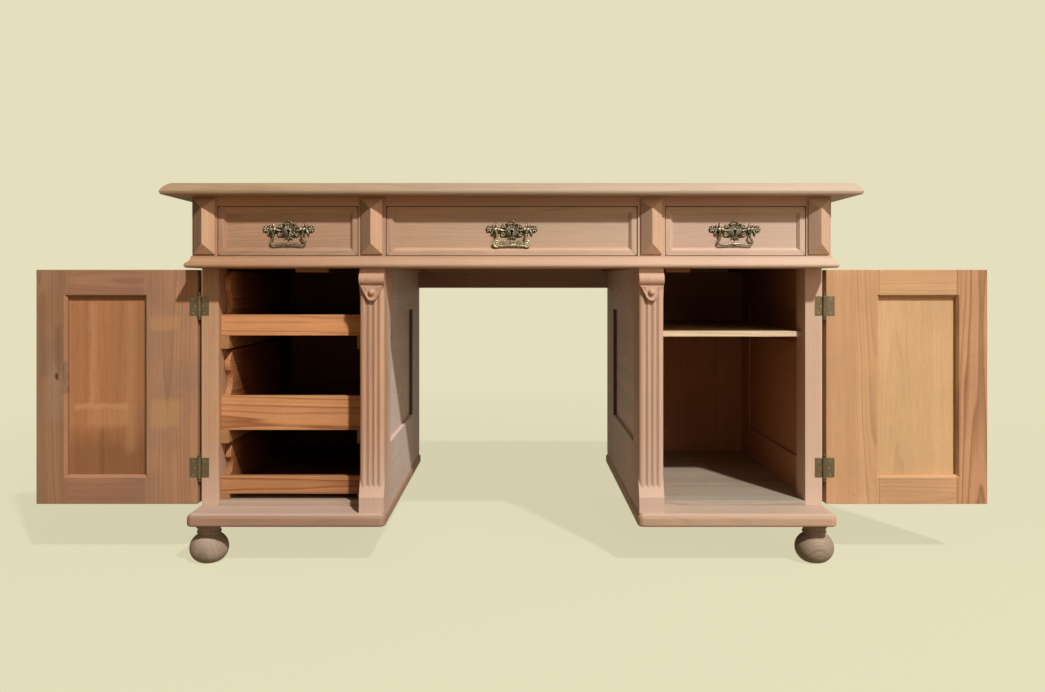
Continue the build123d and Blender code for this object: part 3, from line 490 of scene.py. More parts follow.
def rod(shape, path, radii, sides=10):
    """A rod of changing thickness along a path, with closed ends."""
    path = [Vector(point) for point in path]
    count = len(path)
    up = None
    loops = []
    for place, point in enumerate(path):
        ahead = path[min(place + 1, count - 1)] - path[max(place - 1, 0)]
        ahead.normalize()
        if up is None:
            up = ahead.orthogonal()
        up = (up - ahead * up.dot(ahead)).normalized()
        out = ahead.cross(up)
        spot = place / (count - 1) * (len(radii) - 1)
        low = min(int(spot), len(radii) - 2)
        radius = radii[low] + (radii[low + 1] - radii[low]) * (spot - low)
        loops.append([
            shape.verts.new(point + radius * (math.cos(turn) * up + math.sin(turn) * out))
            for turn in (2 * math.pi * side / sides for side in range(sides))
        ])
    for first, second in zip(loops, loops[1:]):
        for side in range(sides):
            after = (side + 1) % sides
            shape.faces.new((first[side], first[after], second[after], second[side]))
    shape.faces.new(loops[0][::-1])
    shape.faces.new(loops[-1])


def spiral(centre, start, end, turns, first_angle, height, steps=26):
    """A flat volute, winding from one radius to another."""
    made = []
    for step in range(steps + 1):
        t = step / steps
        angle = math.radians(first_angle) + 2 * math.pi * turns * t
        radius = start + (end - start) * t
        made.append((centre[0] + radius * math.cos(angle), centre[1] + radius * math.sin(angle), height))
    return made


def shaft_rise(across, z):
    """How far the front of a pilaster stands out from the frieze at a place, in millimetres."""
    edge = max(abs(across) - 16.5, 0) / 9
    flutes = -1.25 * (1 + math.cos(2 * math.pi * across / 11)) if not edge else -8 * (1 - math.sqrt(1 - edge ** 2))
    cove = 8 - 16 * (1 - max(min((190 - z) / 47, 1.0), 0.0) ** 1.4)
    head = -8 + 8 * max(min((z - 548) / 24, 1.0), 0.0)
    return max(flutes, cove, head)


def shaft(middle):
    """Base block and shaft of a pilaster: four reeds with three flutes between, dying into a cove below."""
    levels = [111, 127, 142.5] + [143 + 1.5 * step for step in range(33)] + [250, 350, 450]
    levels += [546 + 2 * step for step in range(14)] + [599]
    across = [-25.5 + 0.75 * step for step in range(69)]
    rings = []
    for z in levels:
        ring = [(u, -327.5 - shaft_rise(u, z)) for u in across] + [(25.5, -269.5), (-25.5, -269.5)]
        rings.append([(round(middle + u / 1000, 6), round(y / 1000, 6), round(z / 1000, 6)) for u, y in ring])
    faces = [rings[0][::-1], rings[-1]]
    for low, high in zip(rings, rings[1:]):
        for place in range(len(low)):
            faces.append([low[place - 1], low[place], high[place], high[place - 1]])
    return faces


def flute_stain_and_shade(point, normal):
    """Painted shade in the flutes, with old stain that the stripper left there, stronger with depth."""
    depth = min(max((point.y + 0.3275) / 0.0025, 0.0), 1.0)
    return 0.26 * depth if 0.165 < point.z < 0.57 and abs(abs(point.x) - 0.285) < 0.0165 else 0.0


rim_side = [(21.4, 573), (17.4, 565.5), (13, 557), (8.8, 549), (4.4, 545.2)]
rim = [(-x, z, 333.4) for x, z in rim_side] + [(0, 544.3, 333.4)] + [(x, z, 333.4) for x, z in reversed(rim_side)]
for side, way in (("left", -1), ("right", 1)):
    wooden(f"{side}_pilaster_carving", solids_of(f"{side}_pilaster")[2:], "carcass", pedestal_wood,
           "pedestal_wood", [f"{side}_pilaster"], f"{side} pilaster", along=2, ease=0.0006)
    wooden(f"{side}_pilaster_shaft", [shaft(way * 0.285)], "carcass", pedestal_wood, "pedestal_wood", (),
           f"{side} shaft", along=2, ease=0, shades=((0.66, 0.5),), grime=flute_stain_and_shade)
    carving = bmesh.new()
    rod(carving, smooth(rim), (1.5, 1.9, 1.9, 1.9, 1.5), 12)
    for hand in (-1, 1):
        rod(carving, [(hand * x, z, out) for x, z, out in spiral((14.6, 567), 4.2, 1.0, 1.3, 40, 333.4)],
            (1.5, 1.2, 1.0), 10)
    bmesh.ops.recalc_face_normals(carving, faces=carving.faces)
    moulded = [[(round(way * 0.285 + v.co.x / 1000, 6), round(-v.co.z / 1000, 6), round(v.co.y / 1000, 6))
                for v in face.verts] for face in carving.faces]
    carving.free()
    wooden(f"{side}_tongue_rim", [moulded], "carcass", pedestal_wood, "pedestal_wood", (), f"{side} rim", ease=0)


# Inside of the cupboards: floors, shelf and its ledges, door stops, and the runners for the trays.
# Raw sawn pine that has never been polished, with painted shade that grows deeper towards the back.

inner_wood = wood_finish("inner_wood", (176, 128, 84), (112, 72, 42), (120, 102, 84),
                         greyed=0.45, rough=0.72)
for node in ("shelf_ledges", "door_stops"):
    boards(node, "carcass", inner_wood, "inner_wood", node)
shelf_wood = wood_finish("shelf_wood", (230, 212, 182), (186, 152, 110), (190, 168, 138),
                         greyed=0.2, rough=0.7)
boards("cupboard_shelf", "carcass", shelf_wood, "inner_wood", "shelf", "cupboard_shelf_board", shades=((0.9, 0.5),))
floor_wood = wood_finish("floor_wood", (190, 173, 152), (136, 119, 99), (163, 153, 140),
                         greyed=0.6, rough=0.75, inside=0.3,
                         marks=((-0.46, 0.115, 0.2, 0.02, 0.01, 0.55, (176, 140, 118)),))
boards("pedestal_floors", "carcass", floor_wood, "inner_wood", "floors", "cupboard_floor_boards")
tray_pine = wood_finish("tray_pine", (218, 154, 102), (152, 92, 54), (160, 118, 84),
                        ring=0.0045, rings=0.95, streaks=0.45, greyed=0.2, knots=0.8, inside_shade_colour=(150, 118, 104))
boards("tray_runners", "carcass", inner_wood, "tray_pine", "tray runners", "tray_runner_strips")


# Trays: three pull-out trays of the left cupboard, nailed together from pine.
# The sides are sawn in a scoop above the low front, so that a hand can reach in.

for tray, shade in (("low_tray", -0.3), ("middle_tray", 0.5), ("high_tray", 0.9)):
    boards(tray, tray, tray_pine, "tray_pine", tray, shades=[(shade, 0.5)] * 9)


# Frieze: waist rail with its bead, posts, hipped blocks, rails, sides and back, with runners, guides,
# kickers and dust boards between. Stripped outside, raw inside.

frieze_wood = wood_finish("frieze_wood", (192, 143, 109), (143, 102, 75), (164, 134, 110),
                          right_light_paint=0.5, overhang_shadow=True)
for node in ("waist_moulding", "frieze_posts", "frieze_top_rail", "frieze_sides"):
    boards(node, "carcass", frieze_wood, "frieze_wood", node)
boards("frieze_back", "carcass", frieze_wood, "frieze_wood", "frieze_back",
       shades=((0.5, 0.5), (0.3, 0.5), (-0.9, 0.4)))


def facet_shade(point, normal):
    """Painted shade on the facets of the hipped blocks that face away from the lamp, stronger towards the left."""
    return 0.44 - 0.3 * point.x if normal.x < -0.3 else 0.0


diamond_wood = wood_finish("diamond_wood", (211, 165, 128), (157, 117, 87), (180, 149, 122),
                           right_light_paint=0.2)
boards("post_diamonds", "carcass", diamond_wood, "frieze_wood", "diamonds", "post_diamond_blocks", along=2,
       ease=0.0006, shades=[(0.6, 0.5)] * 4, grime=facet_shade)
for node in ("frieze_partitions", "drawer_runners", "drawer_kickers", "dust_boards"):
    boards(node, "carcass", inner_wood, "inner_wood", node)


# Drawers: a front with a mitred border planted round a sunk field, and a pine box lapped to it with
# dovetails. The front is stripped, with painted shade along its arrises next to the gaps, the box raw.

front_wood = wood_finish("drawer_front_wood", (190, 146, 113), (146, 106, 80), (168, 137, 114),
                         right_light_paint=0.5, overhang_shadow=True)
box_wood = wood_finish("drawer_box_wood", (206, 162, 112), (146, 98, 58), (150, 124, 96),
                       knots=0.6)
for side in ("left", "centre", "right"):
    drawer = f"{side}_drawer"
    low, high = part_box(f"{drawer}_front")

    def gap_shade(point, normal):
        """Painted shade along the outer arrises of a drawer front, for the dark gaps round it in its opening."""
        inset = min(point.x - low.x, high.x - point.x, point.z - low.z, high.z - point.z)
        return 0.8 if inset < 0.0012 and -0.98 < normal.y < -0.1 else 0.0

    boards(f"{drawer}_front", drawer, front_wood, "drawer_front_wood", f"{side} front", grime=gap_shade)
    boards(f"{drawer}_box", drawer, box_wood, "drawer_box_wood", f"{side} box", ease=0.0005)


# Table top: softwood planks glued edge to edge, with a gently rounded slope planed round the rim.
# It rests on the frieze, and painted light makes it paler towards the right end.

top_wood = wood_finish("top_wood", (182, 148, 114), (144, 114, 86), (160, 138, 114), right_light_paint=0.5)
top_low, top_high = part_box("table_top")
plank_count = 5
plank_width = (top_high.y - top_low.y) / plank_count
joints = [top_low.y + plank_width * (place + 1) for place in range(plank_count - 1)]
boards("table_top", "carcass", top_wood, "top_wood", "top", "planked_top", along=0, planks=(1, joints), ease=0)


# Doors: mortised frames of mixed softwood, chamfered round a sunk panel on both faces.
# They stand open with the raw inner face forward, and the left one keeps marks of old fittings.

stile_marks = (
    (-0.73, 0.494, 0.03, 0.014, 0.005, 0.42, (196, 144, 94)),
    (-0.73, 0.306, 0.03, 0.029, 0.006, 0.42, (196, 146, 92)),
    (-0.752, 0.36, 0.012, 0.17, 0.012, 0.2, (196, 146, 108)),
    (-0.962, 0.35, 0.014, 0.055, 0.014, 0.4, (170, 138, 114)),
    (-0.953, 0.44, 0.005, 0.05, 0.006, 0.4, (92, 62, 42)),
    (-0.985, 0.47, 0.008, 0.09, 0.01, 0.35, (104, 72, 52)),
    (-0.957, 0.382, 0.004, 0.007, 0.003, 0.9, (56, 34, 22)),
    (-0.9395, 0.38, 0.0022, 0.034, 0.003, 0.8, (50, 32, 20)))
panel_marks = (
    (-0.855, 0.2, 0.1, 0.056, 0.03, 0.5, (108, 68, 44)),
    (-0.869, 0.318, 0.056, 0.006, 0.004, 0.45, (212, 156, 110)),
    (-0.856, 0.294, 0.044, 0.018, 0.006, 0.28, (206, 150, 104)),
    (-0.888, 0.43, 0.005, 0.11, 0.005, 0.4, (208, 154, 112)),
    (-0.806, 0.38, 0.009, 0.16, 0.008, 0.28, (204, 150, 106)),
    (-0.868, 0.22, 0.004, 0.05, 0.004, 0.3, (86, 54, 36)))
panel_middle = -0.2555
door_woods = {
    "left_frame": wood_finish("left_door_wood", (180, 130, 96), (132, 92, 66), (140, 112, 92),
                              rings=0.6, streaks=0.55, greyed=0.55, marks=stile_marks, marked_to=panel_middle),
    "left_panel": wood_finish("left_panel_wood", (188, 127, 84), (138, 90, 57), (150, 110, 80),
                              rings=0.5, streaks=0.5, greyed=0.3, marks=panel_marks, marked_to=panel_middle),
    "right_frame": wood_finish("right_door_wood", (210, 161, 116), (162, 120, 86), (176, 140, 108),
                               rings=0.65, streaks=0.45, greyed=0.2),
    "right_stile": wood_finish("right_stile_wood", (208, 156, 112), (140, 96, 64), (176, 140, 108),
                               ring=0.0058, rings=0.95, streaks=0.25, greyed=0.15),
    "right_panel": wood_finish("right_panel_wood", (210, 166, 121), (168, 127, 88), (182, 146, 108),
                               rings=0.35, streaks=0.3, greyed=0.2),
}
door_shades = {
    "left_frame": ((0.45, 0.3), (0.3, 0.3), (0.85, 0.6), (0.02, 0.7)), "left_panel": ((0.5, 0.6),),
    "right_frame": ((0.75, 0.5), (0.95, 0.7), (0.7, 0.6)), "right_panel": ((0.7, 0.8),),
}


def worn_open(point):
    """A point of a door frame, with the chamfer round the front of the panel planed broader."""
    x, y, z = point
    across = max(0.7735 - abs(x), abs(x) - 0.9365)
    rise = max(0.175 - z, z - 0.549)
    if y > -0.2635 or across > 0.0031 or rise > 0.0031:
        return point
    if across > 0:
        x += math.copysign(0.8 * across, x) * (1 if abs(x) > 0.85 else -1)
    if rise > 0:
        z += 0.8 * rise * (1 if z > 0.36 else -1)
    return (round(x, 6), round(y + 0.8 * (y + 0.2695), 6), round(z, 6))


def chamfer_light_and_shade(point, normal):
    """Painted light and shade on the panel chamfers: those that face the lamp or upwards are painted pale, the
    others darker.
    """
    slant = -0.8 < normal.y < -0.6 and abs(abs(point.x) - 0.855) < 0.088 and abs(point.z - 0.362) < 0.193
    return (-1.0 if normal.x > 0.5 or normal.z > 0.5 else 0.3) if slant else 0.0


for side in ("left", "right"):
    frame_solids = [[[worn_open(point) for point in corners] for corners in solid]
                    for solid in solids_of(f"{side}_door_frame")]
    whole = 4 if side == "left" else 3
    wooden(f"{side}_door_frame_boards", frame_solids[:whole], f"{side}_door", door_woods[f"{side}_frame"],
           f"{side}_door_wood", [f"{side}_door_frame"], f"{side} door frame", shades=door_shades[f"{side}_frame"],
           grime=chamfer_light_and_shade)
    if side == "right":
        wooden("right_door_stile_board", frame_solids[3:], "right_door", door_woods["right_stile"],
               "right_door_wood", (), "right stile", shades=((0.3, 0.4),), grime=chamfer_light_and_shade)
    boards(f"{side}_door_panel", f"{side}_door", door_woods[f"{side}_panel"], f"{side}_door_wood",
           f"{side} door panel", shades=door_shades[f"{side}_panel"])


# Butt hinges: cast brass, two leaves let into the wood, three knuckles on a loose pin with turned ends.
# Each leaf is held by three slotted screws driven flush into its countersinks.

def brass_finish(name, dull, bright, patina, patches=0.5, rough=0.42):
    """Old brass: bright where hands and dusters reach, brown in the hollows, green patches of patina."""
    dull, bright, patina = (colour(*shade) for shade in (dull, bright, patina))
    made = bpy.data.materials.new(name)
    made.use_nodes = True
    tree = made.node_tree
    shader = tree.nodes["Principled BSDF"]
    where = add(tree, "TexCoord").outputs["Object"]
    rubbed = add(tree, "Attribute", attribute_name="rubbed").outputs["Fac"]
    cloud = add(tree, "TexNoise", {"Vector": where, "Scale": 150.0, "Detail": 4.0, "Roughness": 0.6}).outputs["Fac"]
    fine = add(tree, "TexNoise", {"Vector": where, "Scale": 900.0, "Detail": 3.0, "Roughness": 0.6}).outputs["Fac"]
    shine = calc(tree, "ADD", rubbed, calc(tree, "MULTIPLY", calc(tree, "SUBTRACT", fine, 0.5), 0.9))
    face = blended(tree, stops(tree, shine, (0.15, 0.0), (0.85, 1.0)), dull, bright)
    green = calc(tree, "MULTIPLY", stops(tree, cloud, (0.5, 0.0), (0.62, 1.0)), patches)
    face = blended(tree, green, face, patina)
    tree.links.new(face, shader.inputs["Base Color"])
    shader.inputs["Metallic"].default_value = 0.85
    rougher = calc(tree, "ADD", calc(tree, "MULTIPLY", green, 0.3), calc(tree, "MULTIPLY", fine, 0.2))
    tree.links.new(calc(tree, "ADD", rougher, rough - 0.1), shader.inputs["Roughness"])
    bump = add(tree, "Bump", {"Strength": 0.3, "Distance": 0.0003, "Height": fine})
    tree.links.new(bump.outputs[0], shader.inputs["Normal"])
    return made


def metalwork(name, solids, body, finish, replaced, ease):
    """A metal piece from its CAD solids, its edges slightly rubbed round."""
    whole = bpy.data.meshes.new(name)
    shape = bmesh.new()
    for triangles in solids:
        part = softened(triangles, ease)
        scrap = bpy.data.meshes.new("scrap")
        part.to_mesh(scrap)
        part.free()
        shape.from_mesh(scrap)
        bpy.data.meshes.remove(scrap)
    shape.to_mesh(whole)
    shape.free()
    rub = whole.attributes.new("rubbed", "FLOAT", "FACE")
    rub.data.foreach_set("value", [0.75 if item.value else 0.35 for item in whole.attributes["worn_and_shaded"].data])
    return piece(name, whole, body, finish, replaced)


def screws(name, places, radius, body, finish, seed):
    """Slotted countersunk screws facing forward, their slots left at any angle."""
    group = bpy.data.node_groups.new(name, "GeometryNodeTree")
    face = group.interface
    sockets = {}
    for label, kind in (("Places", "Geometry"), ("Radius", "Float"), ("Seed", "Int"), ("Finish", "Material")):
        sockets[label] = face.new_socket(label, in_out="INPUT", socket_type="NodeSocket" + kind)
    face.new_socket("Screws", in_out="OUTPUT", socket_type="NodeSocketGeometry")

    def put(kind, inputs=(), **settings):
        return fitted(group, kind, inputs, **settings)

    given = put("NodeGroupInput").outputs
    head = put("GeometryNodeMeshCone", {"Vertices": 24, "Radius Top": 0.82, "Radius Bottom": 1.0, "Depth": 0.3})
    bar = put("GeometryNodeMeshCube", {"Size": (2.4, 0.3, 0.4)})
    raised = put("GeometryNodeTransform", {"Geometry": bar.outputs[0], "Translation": (0, 0, 0.3)})
    slotted = put("GeometryNodeMeshBoolean", {0: head.outputs[0], 1: raised.outputs[0]}, operation="DIFFERENCE")
    spots = put("GeometryNodeMeshToPoints", {0: given["Places"]})
    turn = put("FunctionNodeRandomValue", {0: (math.pi / 2, 0, 0), 1: (math.pi / 2, math.pi, 0),
                                           "Seed": given["Seed"]}, data_type="FLOAT_VECTOR")
    placed = put("GeometryNodeInstanceOnPoints", {"Points": spots.outputs[0], "Instance": slotted.outputs[0],
                                                  "Rotation": turn.outputs[0], "Scale": given["Radius"]})
    real = put("GeometryNodeRealizeInstances", {0: placed.outputs[0]})
    coated = put("GeometryNodeSetMaterial", {0: real.outputs[0], "Material": given["Finish"]})
    out = put("NodeGroupOutput")
    group.links.new(coated.outputs[0], out.inputs[0])

    spot_mesh = bpy.data.meshes.new(name + "_places")
    spot_mesh.from_pydata(places, [], [])
    holder = bpy.data.objects.new(name + "_places", spot_mesh)
    bpy.context.scene.collection.objects.link(holder)
    maker = holder.modifiers.new("screws", "NODES")
    maker.node_group = group
    maker[sockets["Radius"].identifier] = radius
    maker[sockets["Seed"].identifier] = seed
    maker[sockets["Finish"].identifier] = finish
    bpy.context.view_layer.update()
    made = bpy.data.meshes.new_from_object(holder.evaluated_get(bpy.context.evaluated_depsgraph_get()))
    holder.modifiers.remove(maker)
    bpy.data.objects.remove(holder)
    made.materials.clear()
    rub = made.attributes.new("rubbed", "FLOAT", "POINT")
    rub.data.foreach_set("value", [0.6] * len(made.vertices))
    return piece(name, made, body, finish)


hinge_brass = brass_finish("hinge_brass", (70, 58, 42), (164, 144, 112), (84, 76, 58),
                           patches=0.35)
metalwork("hinge_leaves_on_posts", solids_of("hinge_post_leaves"), "carcass", hinge_brass,
          ["hinge_post_leaves"], 0.0003)
metalwork("hinge_pin_set", solids_of("hinge_pins"), "carcass", hinge_brass, ["hinge_pins"], 0)
for side in ("left", "right"):
    metalwork(f"{side}_hinge_leaves_on_door", solids_of(f"{side}_door_hinge_leaves"), f"{side}_door", hinge_brass,
              [f"{side}_door_hinge_leaves"], 0.0003)
screw_seat = -0.26905
screw_radius = 0.0029
screw_levels = (-0.0145, 0.0, 0.0145)
hinge_levels = sorted({round((min(p[2] for t in solid for p in t) + max(p[2] for t in solid for p in t)) / 2, 4)
                       for solid in solids_of("hinge_pins")})
post_places = [(way * (0.6465 + 0.004 * (step == 1)), screw_seat, level + drop)
               for way in (-1, 1) for level in hinge_levels for step, drop in enumerate(screw_levels)]
screws("hinge_screws_on_posts", post_places, screw_radius, "carcass", hinge_brass, 3)
for side, way in (("left", -1), ("right", 1)):
    door_places = [(way * (0.6705 - 0.004 * (step == 1)), screw_seat, level + drop)
                   for level in hinge_levels for step, drop in enumerate(screw_levels)]
    screws(f"{side}_hinge_screws_on_door", door_places, screw_radius, f"{side}_door", hinge_brass,
           5 + way)


# Drop handles: cast and chased brass. A back plate with a domed keyhole scutcheon, a looped crest and
# leafy wings carries two lugs, and a bail hangs from them on a pin. The middle bail has scrolled corners.

def bead(shape, place, radius, squash=1.0):
    """A small ball, squashed along the way it stands out."""
    made = bmesh.ops.create_uvsphere(shape, u_segments=14, v_segments=8, radius=radius)["verts"]
    for vertex in made:
        vertex.co.z *= squash
        vertex.co += Vector(place)


def keyhole_edge(turn, eye=2.6, slot=1.3, drop=9.0):
    """The keyhole's outline in a direction from a point inside it, 2 below the eye."""
    side, rise = math.cos(turn), math.sin(turn)
    round_part = 2 * rise + math.sqrt(4 * rise ** 2 + eye ** 2 - 4)
    walls = [slot / abs(side)] if abs(side) > 1e-6 else []
    walls.append((2 if rise > 0 else drop - 2) / abs(rise) if abs(rise) > 1e-6 else 1e9)
    reach = max(round_part, min(walls))
    return reach * side, reach * rise - 2


def plate_shape():
    """The plate lying flat: right, up, and out from the drawer, in millimetres."""
    shape = bmesh.new()
    half = [(5, 14.5), (9, 15.8), (13.5, 14.5), (17, 10), (20, 6.2), (24, 7.5), (28, 9), (30, 13.4), (31.4, 18),
            (33, 13), (35.6, 9.4), (38.4, 13.6), (40.6, 10), (43.4, 11), (47, 11.4), (51, 9.2), (53, 4.4),
            (51.4, -0.6), (47, -2.8), (43.6, -2.6), (42.6, -7.4), (41, -11), (38.6, -6), (35.4, -2.6), (33.6, -7),
            (32.2, -12.2), (29.4, -6.4), (24, -4.6), (21, -7.5), (17.5, -11.5), (12, -13.2), (7.5, -12), (4, -15)]
    outline = [(0, 15)] + half + [(0, -20)] + [(-u, v) for u, v in reversed(half)]
    outline = smooth([(u, v, 0) for u, v in outline], 3, closed=True)
    count = len(outline)
    loops = []
    for height, inset in ((0.0, 0.0), (1.1, 0.0), (1.6, 0.45)):
        loop = []
        for place, point in enumerate(outline):
            ahead = (outline[(place + 1) % count] - outline[place - 1]).normalized()
            inward = Vector((ahead.y, -ahead.x, 0))
            loop.append(shape.verts.new(point + inward * inset + Vector((0, 0, height))))
        loops.append(loop)
    for first, second in zip(loops, loops[1:]):
        for place in range(count):
            after = (place + 1) % count
            shape.faces.new((first[after], first[place], second[place], second[after]))
    turns = [2 * math.pi * place / 120 for place in range(120)]
    holes = []
    for height in (0.0, 1.6):
        holes.append([shape.verts.new((*keyhole_edge(turn), height)) for turn in turns])
    for place in range(120):
        after = (place + 1) % 120
        shape.faces.new((holes[0][place], holes[0][after], holes[1][after], holes[1][place]))
    for loop, hole in ((loops[0], holes[0]), (loops[-1], holes[1])):
        rims = [shape.edges.get((ring[place], ring[place - 1]))
                for ring in (loop, hole) for place in range(len(ring))]
        bmesh.ops.triangle_fill(shape, edges=rims, use_beauty=True)

    rise = [(0.0, 1.3), (0.04, 2.3), (0.12, 2.9), (0.24, 3.3), (0.4, 3.7), (0.56, 4.0), (0.7, 4.2), (0.78, 4.2),
            (0.82, 4.7), (0.9, 4.8), (0.96, 4.4), (1.0, 3.6), (1.0, 0.2)]
    rings = []
    for share, height in rise:
        ring = []
        for turn in turns:
            inner = keyhole_edge(turn)
            wave = 1 + 0.03 * math.cos(15 * turn)
            outer = (15.6 * wave * math.cos(turn), 12.8 * wave * math.sin(turn) + 0.6)
            flute = 0.75 * math.sin(math.pi * min(share / 0.78, 1)) * math.cos(15 * turn)
            ring.append(shape.verts.new((outer[0] + (inner[0] - outer[0]) * share,
                                         outer[1] + (inner[1] - outer[1]) * share, height + flute)))
        rings.append(ring)
    for first, second in zip(rings, rings[1:]):
        for place in range(120):
            after = (place + 1) % 120
            shape.faces.new((first[place], first[after], second[after], second[place]))

    crest = [(6.4 * math.cos(math.radians(turn)), 15 + 6.4 * math.sin(math.radians(turn)), 2.2)
             for turn in range(-20, 201, 10)]
    rod(shape, crest, (1.5, 1.1, 1.5))
    rod(shape, smooth([(0, -11, 2.2), (0, -15, 2.4), (0, -20, 1.4)]), (2.1, 1.7, 0.4))
    bead(shape, (0, 21.6, 2.2), 1.9)
    for way in (-1, 1):
        strokes = [
            (smooth([(10, 3, 2.2), (17, 1.5, 2.4), (24, 3.2, 2.6), (30, 5, 2.6), (36, 4.6, 2.5), (41, 4.6, 2.4)]),
             (1.6, 2.1, 2.2, 1.8, 1.5)),
            (smooth([(28.5, 6, 2.2), (30, 11, 2.7), (31.2, 17, 2.0)]), (2.0, 1.9, 0.9)),
            (smooth([(29, 0.5, 2.0), (31, -5, 2.6), (32, -11, 1.8)]), (2.0, 1.9, 1.0)),
            (smooth([(37, 2.5, 2.0), (40.4, -3, 2.6), (40.8, -9.8, 1.8)]), (1.9, 1.9, 0.9)),
            (smooth([(36, 6, 2.0), (37.6, 9, 2.3), (38.4, 12.6, 1.8)]), (1.6, 1.5, 0.8)),
            (spiral((18.6, -5.6), 4.8, 0.9, 1.4, 150, 2.3), (1.8, 1.4, 1.0)),
            (spiral((17.6, 9.4), 4.4, 0.9, -1.4, 210, 2.3), (1.7, 1.3, 1.0)),
            (smooth([(2, -12, 2.2), (5.2, -13.8, 2.5), (8.6, -17, 1.8)]), (1.7, 1.4, 0.7)),
        ]
        for petal in range(5):
            turn = math.radians(90 + 72 * petal)
            bead(shape, (way * (46.4 + 3.9 * math.cos(turn)), 4.2 + 3.9 * math.sin(turn), 2.2), 2.5, 0.75)
        bead(shape, (way * 46.4, 4.2, 3.4), 1.8)
        for path, radii in strokes:
            rod(shape, [(way * u, v, w) for u, v, w in path], radii, 8)
        bead(shape, (way * 18.6, -5.6, 2.8), 1.5)
        bead(shape, (way * 17.6, 9.4, 2.8), 1.4)
        bead(shape, (way * 6.6, 14, 2.4), 1.7)
        lug = [(way * 26.5, 4, height) for height in (1.2, 2.4, 4.0, 6.4, 7.6, 8.6, 10.0, 11.4, 12.2, 12.6)]
        rod(shape, lug, (4.2, 3.4, 2.4, 2.2, 2.7, 3.2, 3.4, 2.9, 1.8, 0.5), 16)
    return shape


def bail_shape(scrolled):
    """The bail hanging in front of the plate, on the same axes; its pins run into the lugs."""
    shape = bmesh.new()
    out = 10.0
    low = -31.4 if scrolled else -28.9
    wide = 33.8 if scrolled else 30.4
    grip = [(-wide, low, out), (-wide + 6, low + 0.8, out), (-14, low + 2.2, out), (0, low + 3.2, out),
            (14, low + 2.2, out), (wide - 6, low + 0.8, out), (wide, low, out)]
    rod(shape, smooth(grip), (1.5, 2.1, 2.2, 1.9, 2.5, 1.9, 2.2, 2.1, 1.5), 12)
    for way in (-1, 1):
        arm = [(33, 2.6, out), (31, -2.6, out), (29.4, -8.4, out), (31, -15, out), (34.6, -20.6, out),
               (34.4, -25.6, out), (wide, low, out)]
        rod(shape, [(way * u, v, w) for u, v, w in smooth(arm)], (2.0, 1.7, 1.9, 2.4, 2.1, 1.7), 12)
        bead(shape, (way * (wide + 0.1), low + 0.2, out), 2.3)
        pin = [(way * u, 4, out) for u in (23.6, 30.2, 30.8, 33, 35.2, 36.4, 37.2)]
        rod(shape, pin, (1.45, 1.45, 2.8, 3.4, 3.0, 1.9, 0.5), 16)
        collar = [(29.0, -7.4, out), (29.0, -8.2, out), (29.1, -9.8, out), (29.2, -10.6, out)]
        rod(shape, [(way * u, v, w) for u, v, w in collar], (1.6, 2.6, 2.6, 1.6), 12)
        for place in ((9.5, 13) if scrolled else (13,)):
            ring = [(way * (place + step), low + 2.4, out) for step in (-1.0, -0.5, 0.5, 1.0)]
            rod(shape, ring, (1.8, 2.9, 2.9, 1.8), 12)
        if scrolled:
            volute = spiral((31, low + 6.6), 7.4, 1.6, 1.5, 250, out)
            rod(shape, [(way * u, v, w + 0.8) for u, v, w in volute], (2.3, 2.0, 1.5), 10)
            bead(shape, (way * 31, low + 6.6, out + 1), 2.5)
            leaf = [(22, low + 2, out), (20.6, low + 8, out), (15.6, low + 11, out), (11.2, low + 8.2, out),
                    (13.6, low + 5, out)]
            rod(shape, [(way * u, v, w) for u, v, w in smooth(leaf)], (2.0, 2.1, 1.8, 1.1), 8)
    if scrolled:
        fleur = [(-6.6, low + 3, out), (-4, low + 8.6, out), (0, low + 11, out), (4, low + 8.6, out),
                 (6.6, low + 3, out)]
        rod(shape, smooth(fleur), (1.5, 2.0, 1.5), 8)
        bead(shape, (0, low + 12, out), 2.3)
    bead(shape, (0, low + 2.3, out), 2.9)
    return shape


def hung(name, shape, middle, body, replaced, base, depth):
    """Stands the flat casting against a drawer front, rubbed bright where it stands out from its base."""
    bmesh.ops.recalc_face_normals(shape, faces=shape.faces)
    mesh = bpy.data.meshes.new(name)
    shape.to_mesh(mesh)
    shape.free()
    rub = []
    for vertex in mesh.vertices:
        height = (vertex.co.z - base) / depth
        if "plate" in name and (vertex.co.x / 16) ** 2 + (vertex.co.y / 13.4) ** 2 < 1:
            height = 0.16 + 0.1 * (vertex.co.z - base)
        rub.append(min(max(height, 0.0), 1.0))
    mesh.attributes.new("rubbed", "FLOAT", "POINT").data.foreach_set("value", rub)
    for vertex in mesh.vertices:
        right, up, out = vertex.co / 1000
        if "bail" in name:
            out -= 0.0042 * min(max(-up / 0.024, 0.0), 1.0)
        vertex.co = (middle + right, plate_seat - out, keyhole_level + up)
    return piece(name, mesh, body, handle_brass, [replaced], smooth_below=50)


plate_seat = -0.318
keyhole_level = 0.685
handle_brass = brass_finish("handle_brass", (54, 39, 26), (186, 172, 144), (90, 88, 70),
                            rough=0.36)
for side, middle in (("left", -0.457), ("centre", 0.0), ("right", 0.457)):
    hung(f"{side}_handle_plate", plate_shape(), middle, f"{side}_drawer", f"{side}_drawer_plate", 2.4, 2.4)
    hung(f"{side}_handle_bail", bail_shape(side == "centre"), middle, f"{side}_bail", f"{side}_drawer_bail",
         9.2 if side == "centre" else 10.2, 3.8)


# Drawer locks: iron cases screwed behind the drawer fronts, each with a bolt that rises into the rail.
# Filed bright once, now brown with a film of rust.

